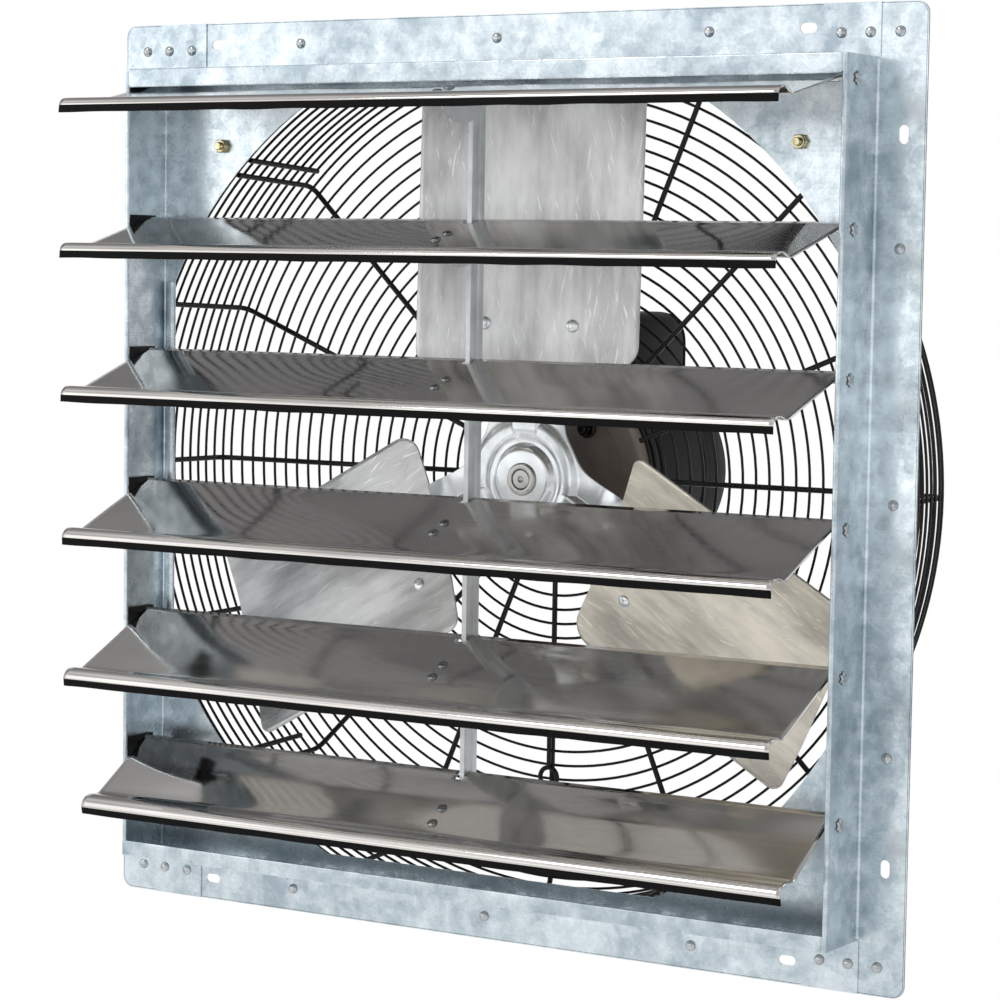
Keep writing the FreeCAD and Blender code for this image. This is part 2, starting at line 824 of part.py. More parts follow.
def wire_along(points, turn, aside):
    """Sweep a six-sided wire along a path of (radius, depth) points in a plane beside the axis."""
    path = doc.addObject("Sketcher::SketchObject", "Path")
    outline(path, points, closed=False)
    flat = Rotation(Vector(0, 1, 0), turn)
    path.Placement = Placement(flat.multVec(Vector(0, 0, value(aside))), flat)
    hexagon = doc.addObject("Part::RegularPolygon", "Hexagon")
    hexagon.Polygon = 6
    bind(hexagon, Circumradius="wire_half / cos(30 deg)")
    start = Vector(value(points[0][0]), value(points[0][1]), value(aside))
    after = Vector(value(points[1][0]), value(points[1][1]), value(aside))
    along = Rotation(Vector(0, 0, 1), after - start)
    hexagon.Placement = Placement(flat.multVec(start), flat.multiply(along))
    doc.recompute()
    wire = doc.addObject("Part::Sweep", "Wire")
    wire.Sections = [hexagon]
    wire.Spine = (path, [f"Edge{k + 1}" for k in range(len(path.Shape.Edges))])
    wire.Solid = True
    wire.Transition = "Right corner"
    return wire


def side_run(near):
    """Return the guard's side at a depth, as a radius formula."""
    return f"(guard_front_radius - {guard_taper()} * ({near}))"


def make_guard_wires():
    """Make the wires that carry the hoops: up the side, round the bend and across the back.

    The four diagonal wires run on to eyes on the motor's front bell, beside short wires that
    close the feet.
    """
    foot_back = "(2 * gauge + 2 * wire_half)"
    inner = "(guard_ring_first - (guard_back_rings - 1) * guard_ring_step - guard_wire_over)"
    wires = []
    for i in range(GUARD_WIRES):
        angle = i * 360 / GUARD_WIRES
        diagonal = i % 4 == 2
        end = "(eye_reach + eye_radius - wire_half / 2)" if diagonal else inner
        start = foot_back if diagonal else "(2 * gauge + guard_wire_gap)"
        route = [
            (end, "guard_depth"),
            ("guard_back_radius - guard_bend", "guard_depth"),
            (f"{side_run('guard_depth - guard_bend')}", "guard_depth - guard_bend"),
            (side_run(start), start),
        ]
        wire = wire_along(route, -angle, "foot_half" if diagonal else "0")
        if diagonal:
            wires.append(with_eye(wire, angle))
            brace_top = "(guard_depth - brace_drop)"
            brace = [(side_run(brace_top), brace_top), (side_run(foot_back), foot_back)]
            wires.append(wire_along(brace, -angle, "-1 * foot_half"))
        else:
            wires.append(wire)
    node(group(wires), "guard_radials")


def eye_spot(angle):
    """Return the centre of a diagonal wire's eye, in the plane of the motor's face."""
    turn = Rotation(Vector(0, 1, 0), -angle)
    return turn.multVec(Vector(value("eye_reach"), 0, value("foot_half")))


def with_eye(wire, angle):
    """End a diagonal guard wire in an eye."""
    spot = eye_spot(angle)
    where = (str(spot.x), "guard_depth - wire_half", str(spot.z))
    disc = prism(COLLAR_SIDES, "eye_radius", "2 * wire_half", *where, FAN_AXIS)
    bore = prism(BOLT_SIDES, "bolt_radius", "2 * wire_half", *where, FAN_AXIS)
    return cut(fuse([wire, disc]), bore)


def make_motor_mount_nuts():
    """Make the studs and nuts that clamp the guard's four eyes to the motor."""
    nuts = []
    for i in range(4):
        spot = eye_spot(45 + 90 * i)
        x, z = str(spot.x), str(spot.z)
        start = "guard_depth - wire_half - nut_thick"
        nut = prism(6, "nut_half / cos(30 deg)", "nut_thick", x, start, z, FAN_AXIS)
        stud = prism(BOLT_SIDES, "bolt_radius", "2 * wire_half + nut_thick + bolt_out", x,
                     f"{start} - bolt_out", z, FAN_AXIS)
        nuts.append(fuse([nut, stud]))
    node(group(nuts), "motor_mount_nuts")


def make_guard_feet():
    """Make the four bent-wire feet that lie on the back panel round the guard's bolts."""
    feet = []
    for i in range(4):
        path = doc.addObject("Sketcher::SketchObject", "FootPath")
        inner = side_run("0")
        bolt = "bolt_reach * sqrt(2)"
        outline(path, [
            (inner, "-1 * foot_half"),
            (bolt, "-1 * foot_half"),
            (f"{bolt} + foot_half", "foot_half * -0.4"),
            (f"{bolt} + foot_half", "foot_half * 0.4"),
            (bolt, "foot_half"),
            (inner, "foot_half"),
        ], closed=False)
        flat = Rotation(Vector(0, 1, 0), -(45 + 90 * i)).multiply(FAN_AXIS)
        depth = Vector(0, value("2 * gauge + wire_half"), 0)
        path.Placement = Placement(depth, flat)
        hexagon = doc.addObject("Part::RegularPolygon", "Hexagon")
        hexagon.Polygon = 6
        bind(hexagon, Circumradius="wire_half / cos(30 deg)")
        start = Vector(value(inner), value("-1 * foot_half"), 0)
        across = Rotation(Vector(0, 1, 0), 90).multiply(Rotation(Vector(0, 0, 1), 30))
        hexagon.Placement = Placement(depth + flat.multVec(start), flat.multiply(across))
        doc.recompute()
        foot = doc.addObject("Part::Sweep", "Foot")
        foot.Sections = [hexagon]
        foot.Spine = (path, [f"Edge{k + 1}" for k in range(len(path.Shape.Edges))])
        foot.Solid = True
        foot.Transition = "Right corner"
        feet.append(foot)
    node(group(feet), "guard_feet")


def make_guard_bolts():
    """Make the guard's bolts, headed behind the feet, and their nuts on the panel's front."""
    bolts = []
    nuts = []
    foot_back = "2 * gauge + 2 * wire_half"
    for side in (-1, 1):
        for end in (-1, 1):
            x, z = f"{side} * bolt_reach", f"{end} * bolt_reach"
            stem_start = "gauge - nut_thick - bolt_out"
            stem_long = f"{foot_back} - ({stem_start})"
            stem = prism(BOLT_SIDES, "bolt_radius", stem_long, x, stem_start, z, FAN_AXIS)
            washer = prism(COLLAR_SIDES, "foot_half + wire_half", "washer_thick", x, foot_back, z, FAN_AXIS)
            head = prism(6, "nut_half / cos(30 deg)", "bolt_head", x, f"{foot_back} + washer_thick", z,
                         FAN_AXIS)
            bolts.append(fuse([stem, washer, head]))
            nut = prism(6, "nut_half / cos(30 deg)", "nut_thick", x, "gauge - nut_thick", z, FAN_AXIS)
            bore = prism(BOLT_SIDES, "bolt_radius", "nut_thick", x, "gauge - nut_thick", z, FAN_AXIS)
            nuts.append(cut(nut, bore))
    node(group(bolts), "guard_bolts")
    node(group(nuts), "guard_nuts")


MOTOR_FACE = "(guard_depth + wire_half)"
SHELL_START = f"({MOTOR_FACE} + bell_thick)"
REAR_START = f"({SHELL_START} + shell_long)"
MOTOR_END = f"({REAR_START} + rear_bell_long)"
FRONT_BEARING = f"({MOTOR_FACE} + bearing_inset)"
REAR_BEARING = f"({MOTOR_END} - rear_wall - bearing_wide)"
CORE_START = f"({SHELL_START} + core_gap)"


def make_motor():
    """Make the motor's still pieces: two end bells, the shell, the stator and two bearings."""
    node(turned("FrontBell", [
        ("shaft_radius + shaft_room", MOTOR_FACE),
        ("bell_radius - rim_round", MOTOR_FACE),
        ("bell_radius - rim_round * 0.3", f"{MOTOR_FACE} + rim_round * 0.3"),
        ("bell_radius", f"{MOTOR_FACE} + rim_round"),
        ("bell_radius", SHELL_START),
        ("bearing_radius", SHELL_START),
        ("bearing_radius", FRONT_BEARING),
        ("shaft_radius + shaft_room", FRONT_BEARING),
    ]), "motor_front_bell")
    node(turned("Shell", [
        ("motor_radius - motor_wall", SHELL_START),
        ("motor_radius", SHELL_START),
        ("motor_radius", REAR_START),
        ("motor_radius - motor_wall", REAR_START),
    ]), "motor_shell")
    node(turned("RearBell", [
        ("motor_radius - motor_wall", REAR_START),
        ("motor_radius", REAR_START),
        ("motor_radius", f"{MOTOR_END} - 2 * rim_round"),
        ("motor_radius - rim_round * 0.6", f"{MOTOR_END} - rim_round * 0.6"),
        ("motor_radius - 2 * rim_round", MOTOR_END),
        ("0", MOTOR_END),
        ("0", f"{MOTOR_END} - rear_wall"),
        ("bearing_radius", f"{MOTOR_END} - rear_wall"),
        ("bearing_radius", REAR_BEARING),
        ("motor_radius - motor_wall", REAR_BEARING),
    ]), "motor_rear_bell")
    bore = prism(CORE_SIDES, "stator_bore", "core_long", "0", CORE_START, "0", FAN_AXIS)
    core = prism(CORE_SIDES, "motor_radius - motor_wall", "core_long", "0", CORE_START, "0", FAN_AXIS)
    node(cut(core, bore), "motor_stator")
    for label, start in (("front_bearing", FRONT_BEARING), ("rear_bearing", REAR_BEARING)):
        race = prism(CORE_SIDES, "bearing_radius", "bearing_wide", "0", start, "0", FAN_AXIS)
        running_fit = cylinder("shaft_radius + pin_play", "bearing_wide", "0", start, "0", FAN_AXIS)
        node(cut(race, running_fit), label)


def make_junction_box():
    """Make the wiring box on the motor, its cover and the gland for a supply cable."""
    saddle = cylinder("motor_radius", "box_long + 2 * cover_thick", "0", "box_start - cover_thick", "0",
                      FAN_AXIS)
    shape = [
        ("-1 * box_half_wide", "box_foot"),
        ("box_half_wide", "box_foot"),
        ("box_half_wide", "box_top - box_round", "box_round"),
        ("box_half_wide - box_round", "box_top"),
        ("box_round - box_half_wide", "box_top", "box_round"),
        ("-1 * box_half_wide", "box_top - box_round"),
    ]
    block = extruded("Box", "XZ_Plane", "-1 * box_start", shape, "box_long", backwards=True)
    node(cut(block, saddle), "junction_box")
    lid_foot = "motor_radius + cover_gap"
    lid = [("-1 * box_half_wide", lid_foot), ("box_half_wide", lid_foot)] + shape[2:]
    lid_start = "box_start + box_long"
    cover = extruded("Cover", "XZ_Plane", f"-1 * ({lid_start})", lid, "cover_thick", backwards=True)
    node(cover, "junction_box_cover")
    gland_start = "box_start + box_long + cover_thick"
    cap_start = f"{gland_start} + gland_nut"
    height = "box_top - gland_drop"
    nut = prism(6, "gland_radius", "gland_nut", "0", gland_start, height, FAN_AXIS)
    cap = prism(BOLT_SIDES, "gland_cap_radius", "gland_cap", "0", cap_start, height, FAN_AXIS)
    bore = prism(BOLT_SIDES, "gland_bore", "gland_cap", "0", f"{cap_start} + gland_floor", height, FAN_AXIS)
    node(cut(fuse([nut, cap]), bore), "cable_gland")


def blade_turn(i):
    """Return the turn that points a blade's length outward, without its pitch."""
    return Rotation(Vector(0, 1, 0), value("blade_lead") + 360 / value("blade_count") * i)


def pitched(i):
    """Return the turn of a pitched blade."""
    return blade_turn(i).multiply(Rotation(Vector(0, 0, 1), value("blade_pitch")))


def make_blade(i):
    """Make one blade: a paddle with a flat middle, creased edges and round corners."""
    body = new_body(f"Blade{i}")
    sketch = new_sketch(body, "XY_Plane", "blade_inner")
    half = "blade_sheet / 2"
    drop = "(blade_half - blade_flat) * tan(blade_bend * 1 deg)"
    outline(sketch, [
        ("-1 * blade_half", f"-1 * {half} - {drop}"),
        ("-1 * blade_flat", f"-1 * {half}"),
        ("blade_flat", f"-1 * {half}"),
        ("blade_half", f"-1 * {half} - {drop}"),
        ("blade_half", f"{half} - {drop}"),
        ("blade_flat", half),
        ("-1 * blade_flat", half),
        ("-1 * blade_half", f"{half} - {drop}"),
    ])
    paddle = pad(body, sketch, "blade_long")
    corners = [f"Edge{k + 1}" for k, edge in enumerate(paddle.Shape.Edges)
               if edge.Length < value("2 * blade_sheet")
               and abs(abs(edge.CenterOfMass.x) - value("blade_half")) < 0.1]
    fillet = body.newObject("PartDesign::Fillet", "Fillet")
    fillet.Base = (paddle, corners)
    bind(fillet, Radius="blade_round")
    place(body, "0", "blade_plane", "0", pitched(i))
    node(body, f"fan_blade_{i + 1}")


def make_blade_rivets():
    """Make the pan-headed rivets that hold the blades to the spider."""
    rivets = []
    for i in range(int(value("blade_count"))):
        for side in (-1, 1):
            spot = Vector(value(f"{side} * blade_rivet_offset"), value("blade_sheet / -2"),
                          value("blade_rivet_reach"))
            spot = pitched(i).multVec(spot)
            head = bind(doc.addObject("Part::Prism", "Rivet"), Circumradius="blade_rivet_radius",
                        Height="blade_rivet_rise")
            head.Polygon = HEAD_SIDES
            turn = pitched(i).multiply(FORWARD)
            head.Placement = Placement(spot + Vector(0, value("blade_plane"), 0), turn)
            rivets.append(head)
    node(group(rivets), "blade_rivets")


def section(half, low, high, reach, turn, name):
    """Make a rectangular section of a spider arm at a distance from the axis."""
    sketch = doc.addObject("Sketcher::SketchObject", name)
    outline(sketch, [(f"-1 * {half}", low), (half, low), (half, high), (f"-1 * {half}", high)])
    out = turn.multVec(Vector(0, 0, value(reach)))
    sketch.Placement = Placement(out + Vector(0, value("blade_plane"), 0), turn)
    return sketch


def make_spider():
    """Make the pressed spider: a three-armed plate, twisted arms, blade seats and a raised boss."""
    low = "blade_sheet / 2"
    high = "blade_sheet / 2 + spider_sheet"
    plate_start = f"blade_plane + {low}"
    pieces = []
    pieces.append(cylinder("plate_radius", "spider_sheet", "0", plate_start, "0", FAN_AXIS))
    for i in range(int(value("blade_count"))):
        flat, steep = blade_turn(i), pitched(i)
        root = [section("arm_half", low, high, "arm_start", flat, "Root"),
                section("arm_half", low, high, "arm_root", flat, "RootEnd")]
        twist = [section("arm_half", low, high, "arm_root", flat, "TwistStart"),
                 section("seat_half", low, high, "seat_start", steep, "TwistEnd")]
        seat = [section("seat_half", low, high, "seat_start", steep, "SeatStart"),
                section("seat_end_half", low, high, "seat_end", steep, "SeatEnd")]
        for pair in (root, twist, seat):
            loft = doc.addObject("Part::Loft", "Arm")
            loft.Sections = pair
            loft.Solid = True
            loft.Ruled = True
            pieces.append(loft)
    boss = cylinder("boss_radius", "boss_rise", "0", f"{plate_start} - boss_rise", "0", FAN_AXIS)
    pieces.append(boss)
    bore = cylinder("shaft_radius", "collar_long", "0", f"{plate_start} - 2 * boss_rise", "0", FAN_AXIS)
    node(cut(fuse(pieces), bore), "hub_spider")


def make_shaft():
    """Make the turning pieces on the axis: shaft, rotor, collar and its set screw."""
    reach = f"{REAR_BEARING} + bearing_wide - shaft_gap"
    node(cylinder("shaft_radius", f"{reach} - shaft_start", "0", "shaft_start", "0", FAN_AXIS), "motor_shaft")
    core = prism(CORE_SIDES, "stator_bore - air_gap", "core_long", "0", CORE_START, "0", FAN_AXIS)
    bore = cylinder("shaft_radius", "core_long", "0", CORE_START, "0", FAN_AXIS)
    node(cut(core, bore), "motor_rotor")
    start = "(blade_plane + blade_sheet / 2 + spider_sheet)"
    ring_block = prism(COLLAR_SIDES, "collar_radius", "collar_long", "0", start, "0", FAN_AXIS)
    bore = cylinder("shaft_radius", "collar_long", "0", start, "0", FAN_AXIS)
    collar = cut(ring_block, bore)
    across = f"{start} + collar_long / 2"
    tapped = prism(BOLT_SIDES, "set_screw_radius", "collar_radius", "0", across, "0", CROSS_AXIS)
    node(cut(collar, tapped), "hub_collar")
    screw_long = "collar_radius + set_screw_out"
    screw = prism(BOLT_SIDES, "set_screw_radius", screw_long, "0", across, "0", CROSS_AXIS)
    shaft_space = cylinder("shaft_radius", "collar_long", "0", start, "0", FAN_AXIS)
    node(cut(screw, shaft_space), "hub_set_screw")


def check_and_write():
    """Check every object and sub-part, then write one file for each sub-part."""
    doc.recompute()
    for item in doc.Objects:
        if "Invalid" in item.State or "Error" in item.State:
            raise ValueError(f"{item.Name} ({item.Label}) failed: {item.State}")
    for item in NODES:
        if item.Shape.isNull() or not item.Shape.isValid() or not item.Shape.Solids:
            raise ValueError(f"{item.Label} has no valid solid")
    os.makedirs("parts", exist_ok=True)
    for item in NODES:
        item.Shape.exportStep(f"parts/{item.Label}.step")


make_side_frame("left_side_frame", -1)
make_side_frame("right_side_frame", 1)
make_cross_frame("top_frame", 1, "top_lip")
make_cross_frame("bottom_frame", -1, "bottom_lip")
make_venturi_panel()
make_frame_rivets()
make_pivot_plates("left_pivot_plates", -1)
make_pivot_plates("right_pivot_plates", 1)
for number in louver_numbers():
    make_louver(number)
    make_louver_pins(number)
    make_louver_arm(number)
make_tie_bar()
make_guard_rings()
make_guard_wires()
make_guard_feet()
make_guard_bolts()
make_motor()
make_motor_mount_nuts()
make_junction_box()
make_shaft()
make_spider()
for number in range(int(value("blade_count"))):
    make_blade(number)
make_blade_rivets()
check_and_write()
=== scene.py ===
import math
from types import SimpleNamespace

import bmesh
import bpy
import numpy as np
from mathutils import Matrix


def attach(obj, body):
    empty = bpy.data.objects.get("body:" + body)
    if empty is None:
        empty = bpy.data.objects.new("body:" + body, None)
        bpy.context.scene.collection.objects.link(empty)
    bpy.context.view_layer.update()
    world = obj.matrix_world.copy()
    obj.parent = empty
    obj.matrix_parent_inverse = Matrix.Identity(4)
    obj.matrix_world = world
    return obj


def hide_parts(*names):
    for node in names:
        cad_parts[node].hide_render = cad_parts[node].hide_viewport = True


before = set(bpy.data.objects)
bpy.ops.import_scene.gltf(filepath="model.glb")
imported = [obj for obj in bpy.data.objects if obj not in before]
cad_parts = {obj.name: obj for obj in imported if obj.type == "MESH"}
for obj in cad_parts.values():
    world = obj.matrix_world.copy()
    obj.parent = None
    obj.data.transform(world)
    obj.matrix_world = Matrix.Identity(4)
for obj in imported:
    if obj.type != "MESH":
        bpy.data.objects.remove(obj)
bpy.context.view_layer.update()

bl_info = {
    "name": "Gable Mount Shutter Fan",
    "version": (1, 0, 0),
    "blender": (4, 5, 0),
    "location": "View3D > Sidebar > Shutter Fan",
    "description": "Builds the visible surfaces, finishes and stage of a gable mount shutter fan",
    "category": "Object",
}

# Lengths in the surface functions are millimetres. X runs to the right seen from the louvers,
# Y towards the motor and Z up. The origin is the centre of the flange's front face.

LOUVERS = 6
BLADES = 3
DIAGONALS = np.radians(45 + 90 * np.arange(4))
ORIGIN = np.zeros((1, 3))

# The shift of the box's noise, in metres. It settles where its clouds lie; it was picked by trying shifts
# against the tones wanted on the box's faces, so the pale and dull clouds are partly the zinc's spangle and
# partly painted light and shade.
SPANGLE_AND_SHADE_PLACE = (1.85, 5.31, 0.67)

# The finishes by name.
LOOKS = {}


def srgb(text):
    """Return a hex colour as linear red, green and blue."""
    code = np.array([int(text[i:i + 2], 16) for i in (1, 3, 5)]) / 255
    return tuple(np.where(code <= 0.04045, code / 12.92, ((code + 0.055) / 1.055) ** 2.4).tolist())


def length(name, description, millimetres):
    """Return a length property."""
    return bpy.props.FloatProperty(name=name, description=description, default=millimetres / 1000,
                                   min=0, unit="LENGTH", precision=4)


def turn(name, description, degrees):
    """Return an angle property."""
    return bpy.props.FloatProperty(name=name, description=description, default=math.radians(degrees),
                                   subtype="ANGLE")


def colour(name, description, text):
    """Return a colour property."""
    return bpy.props.FloatVectorProperty(name=name, description=description, default=srgb(text),
                                         size=3, min=0, max=1, subtype="COLOR")


class ShutterFanLouverSizes(bpy.types.PropertyGroup):
    """Sizes of the louvers."""

    half: length("Half Length", "Half of a louver's length", 301)
    depth: length("Depth", "From pivot to front edge", 105)
    last_depth: length("Last Depth", "From pivot to front edge of the lowest louver", 85)
    sheet: length("Sheet", "Thickness of the sheet", 0.8)
    pitch: length("Pitch", "Height from one pivot to the next", 102.46)
    top: length("Top Pivot", "Height of the top pivot", 291.4)
    inset: length("Pivot Inset", "Depth of the pivots in front of the flange", 32.3)
    tilt: turn("Top Tilt", "Tilt of the top louver", 12.5)
    tilt_step: turn("Tilt Step", "Added tilt from one louver to the next", 3.5)
    last_tilt: turn("Last Tilt", "Tilt of the lowest louver", 33)
    ripple: length("Ripple", "Height of the sheet's faint waves", 0.3)


class ShutterFanGuardSizes(bpy.types.PropertyGroup):
    """Sizes of the wire guard."""

    wire: length("Wire Radius", "Radius of the carrying wires", 2.1)
    hoop_wire: length("Hoop Wire Radius", "Radius of the thin hoops' wire", 1.1)
    front: length("Front Radius", "Radius of the guard's side at the flange", 331)
    back: length("Back Radius", "Radius of the guard's side at its back", 321.5)
    depth: length("Depth", "Depth of the guard's back", 97)
    bend: length("Bend", "Reach of the bend between side and back", 9)
    first_hoop: length("First Hoop", "Radius of the largest back hoop", 314)
    hoop_step: length("Hoop Step", "Radial step of the back hoops", 11.05)
    foot: length("Foot Half Width", "Half of the width of a foot", 8)
    bolts: length("Bolt Reach", "Sideways and upward reach of the guard's bolts", 250.1)
    eyes: length("Eye Reach", "Distance of the eyes from the axis", 45)


class ShutterFanDriveSizes(bpy.types.PropertyGroup):
    """Sizes of the blades, the spider and the motor."""

    blade_half: length("Blade Half Width", "Half of a blade's width", 86)
    blade_flat: length("Blade Flat", "Half of the flat middle of a blade", 42)
    blade_inner: length("Blade Start", "Radius at which a blade starts", 86)
    blade_long: length("Blade Length", "Length of a blade", 208)
    blade_round: length("Blade Corner", "Radius of a blade's inner corner on the leading side", 9)
    blade_heel_round: length("Blade Heel", "Radius of a blade's inner corner on the trailing side", 18)
    blade_tip_round: length("Blade Tip", "Radius of a blade's outer corners", 10)
    blade_sheet: length("Blade Sheet", "Thickness of a blade", 1.5)
    blade_plane: length("Blade Plane", "Depth of the blades' middle plane", 48)
    blade_bend: turn("Blade Bend", "Bend of a blade's outer parts", 7)
    blade_pitch: turn("Blade Pitch", "Pitch of a blade about its length", 18)
    blade_lead: turn("Blade Lead", "Turn of the first blade from upright", 1)
    spider_sheet: length("Spider Sheet", "Thickness of the spider", 2.5)
    motor: length("Motor Radius", "Radius of the motor's shell", 76)
    bell: length("Bell Radius", "Radius of the motor's front bell", 72)
    shaft: length("Shaft Radius", "Radius of the shaft", 8)


class ShutterFanColours(bpy.types.PropertyGroup):
    """Colours of the finishes."""

    galvanised: colour("Galvanised", "Pale spangle of the zinc coat", "#CCD6DC")
    galvanised_dull: colour("Galvanised Dull", "Dull spangle of the zinc coat", "#A0AEB7")
    louver: colour("Louver", "Mill-finish aluminium of the louvers", "#D8D5D1")
    blade: colour("Blade", "Smeared aluminium of the blades", "#E1E2E2")
    # The code gives the second blade a warmer base than the other two, without a known cause.
    blade_warm: colour("Warm Blade", "Aluminium of the blade that has yellowed", "#E6E0D3")
    zinc: colour("Zinc", "Bright zinc plate", "#D6DADC")
    yellow: colour("Yellow Zinc", "Yellow passivated zinc", "#E4D9AE")
    wire: colour("Wire", "Black coat of the guard", "#070708")
    seal: colour("Seal", "Black rubber", "#080808")
    nylon: colour("Nylon", "Black nylon", "#0D0D0D")
    enamel: colour("Enamel", "Black enamel of the motor", "#060606")
    taupe: colour("Taupe", "Taupe enamel of the front bell", "#6A6059")
    steel: colour("Steel", "Ground steel", "#B4B4B2")
    iron: colour("Iron", "Laminated iron", "#4A4A4C")
    floor: colour("Floor", "Pale floor", "#F4F4F4")


class ShutterFanSettings(bpy.types.PropertyGroup):
    """All settings of the fan."""

    louvers: bpy.props.PointerProperty(type=ShutterFanLouverSizes, name="Louvers",
                                       description="Sizes of the louvers")
    guard: bpy.props.PointerProperty(type=ShutterFanGuardSizes, name="Guard",
                                     description="Sizes of the wire guard")
    drive: bpy.props.PointerProperty(type=ShutterFanDriveSizes, name="Drive",
                                     description="Sizes of the blades and the motor")
    colours: bpy.props.PointerProperty(type=ShutterFanColours, name="Colours",
                                       description="Colours of the finishes")


def working_sizes(group):
    """Return a group's sizes by name: lengths in millimetres, angles in radians."""
    kinds = group.bl_rna.properties
    return SimpleNamespace(**{key: getattr(group, key) * (1000 if kinds[key].unit == "LENGTH" else 1)
                              for key in group.__annotations__})


def together(*values):
    """Return whole arrays as the coordinates of one array of points."""
    return np.stack(np.broadcast_arrays(*values), -1)


def circle(count):
    """Return even angles once round a circle."""
    return np.linspace(0, 2 * np.pi, count, endpoint=False)


def grid(points, close_rows=False, close_columns=False):
    """Return the vertices and quads of a surface p(u, v) sampled as (rows, columns, 3)."""
    rows, columns = points.shape[:2]
    u = np.arange(rows if close_rows else rows - 1)[:, None]
    v = np.arange(columns if close_columns else columns - 1)[None, :]
    right, below = (v + 1) % columns, (u + 1) % rows
    quads = together(u * columns + v, u * columns + right, below * columns + right, below * columns + v)
    return points.reshape(-1, 3), quads.reshape(-1, 4)


def joined(*surfaces):
    """Return several surfaces as one."""
    starts = np.cumsum([0] + [len(points) for points, _ in surfaces[:-1]])
    return (np.concatenate([points for points, _ in surfaces]),
            np.concatenate([quads + start for (_, quads), start in zip(surfaces, starts)]))


def copies(surface, offsets, turns=np.eye(3)):
    """Return copies p' = R p + o of a surface, one for each offset o, with one turn R or one for each."""
    points, quads = surface
    offsets = np.asarray(offsets, float)
    count = len(offsets)
    turns = np.broadcast_to(turns, (count, 3, 3))
    moved = np.einsum("nij,pj->npi", turns, points) + offsets[:, None, :]
    linked = quads[None] + (np.arange(count) * len(points))[:, None, None]
    return moved.reshape(-1, 3), linked.reshape(-1, 4)


def about_x(angle):
    """Return the turn matrix about X."""
    c, s = math.cos(angle), math.sin(angle)
    return np.array([[1, 0, 0], [0, c, -s], [0, s, c]])


def about_y(angles):
    """Return turn matrices about Y that carry Z towards X."""
    angles = np.atleast_1d(angles)
    c, s, o = np.cos(angles), np.sin(angles), np.zeros_like(angles)
    return np.stack([together(c, o, s), together(o, o + 1, o), together(-s, o, c)], 1)


def about_z(angle):
    """Return the turn matrix about Z."""
    c, s = math.cos(angle), math.sin(angle)
    return np.array([[c, -s, 0], [s, c, 0], [0, 0, 1]])


def smooth(t):
    """Return the smooth step 3 t^2 - 2 t^3 with t held between 0 and 1."""
    t = np.clip(t, 0, 1)
    return t * t * (3 - 2 * t)


def rounded_path(points, reach, steps=7):
    """Return a polyline with each corner b between a and c turned into the curve
    (1 - t)^2 a + 2 t (1 - t) b + t^2 c, started and ended at a reach from the corner.
    """
    points = np.asarray(points, float)
    middle = points[1:-1]

    def near(other):
        """Return the points at the reach from the corners, towards other points."""
        way = other - middle
        long = np.linalg.norm(way, axis=1, keepdims=True)
        return middle + way / long * np.minimum(reach, long * 0.49)

    start, end = near(points[:-2]), near(points[2:])
    t = np.linspace(0, 1, steps)[None, :, None]
    curve = (1 - t) ** 2 * start[:, None] + 2 * t * (1 - t) * middle[:, None] + t * t * end[:, None]
    return np.concatenate([points[:1], curve.reshape(-1, points.shape[1]), points[-1:]])


def tube(path, radius, normal, sides=10, closed=False):
    """Return p(u, v) = c(u) + r (n cos v + b(u) sin v) along a plane path c, with b = t x n.

    An open tube ends in two rings of radius 0.
    """
    path = np.asarray(path, float)
    if closed:
        along = np.roll(path, -1, 0) - np.roll(path, 1, 0)
        radii = np.full(len(path), radius)
    else:
        along = np.gradient(path, axis=0)
        path = np.concatenate([path[:1], path, path[-1:]])
        along = np.concatenate([along[:1], along, along[-1:]])
        radii = np.full(len(path), radius)
        radii[[0, -1]] = 0
    along = along / np.linalg.norm(along, axis=1, keepdims=True)
    normal = np.asarray(normal, float)
    side = np.cross(along, normal)
    v = circle(sides)[None, :, None]
    points = path[:, None] + radii[:, None, None] * (np.cos(v) * normal + np.sin(v) * side[:, None])
    return grid(points, closed, True)


def hoop(radius, depth, wire, around=192, sides=10):
    """Return a ring about Y: p(u, v) = ((R + r cos v) sin u, y + r sin v, (R + r cos v) cos u)."""
    u = circle(around)[:, None]
    v = circle(sides)[None, :]
    far = radius + wire * np.cos(v)
    points = together(far * np.sin(u), depth + wire * np.sin(v), far * np.cos(u))
    return grid(points, True, True)


def lathe(profile, around=96, flat=None):
    """Return p(u, v) = (r sin v, y, r cos v) for a profile (r(u), y(u)) about Y.

    With a flat, the radius is the lesser of r(u) and the hexagon flat / cos(v'), v' within 30 degrees.
    """
    profile = np.asarray(profile, float)
    v = circle(around)[None, :]
    radius = np.repeat(profile[:, :1], around, 1)
    if flat:
        sixth = np.pi / 3
        radius = np.minimum(radius, flat / np.cos((v + sixth / 2) % sixth - sixth / 2))
    return grid(together(radius * np.sin(v), profile[:, 1:], radius * np.cos(v)), False, True)


def dome(radius, rise, around=32):
    """Return a rivet head along -Y: r = R sin t, h = H cos t over a low foot, closed underneath."""
    foot = 0.3
    t = np.linspace(0, np.pi / 2, 10)
    profile = together(radius * np.sin(t), -foot - (rise - foot) * np.cos(t))
    return lathe(np.concatenate([profile, [[radius, 0], [0, 0]]]), around)


def prismatic(outline, rings):
    """Return rings of a closed outline (x, z) about its middle, each ring (scale, depth along Y)."""
    outline = np.asarray(outline, float)
    middle = outline.mean(0)
    rings = np.asarray(rings, float)
    flat = middle + (outline - middle)[None] * rings[:, :1, None]
    return grid(together(flat[..., 0], rings[:, 1:], flat[..., 1]), False, True)


def hexagon_nut(flat, start, end, bore=0.0, chamfer=0.9):
    """Return a nut from one depth to another, with chamfered corners at both ends."""
    corner, crown = flat / math.cos(math.pi / 6) + 0.01, flat * 0.93
    profile = [(bore, start), (crown, start), (corner, start + chamfer),
               (corner, end - chamfer), (crown, end), (bore, end)]
    return lathe(profile, 72, flat)


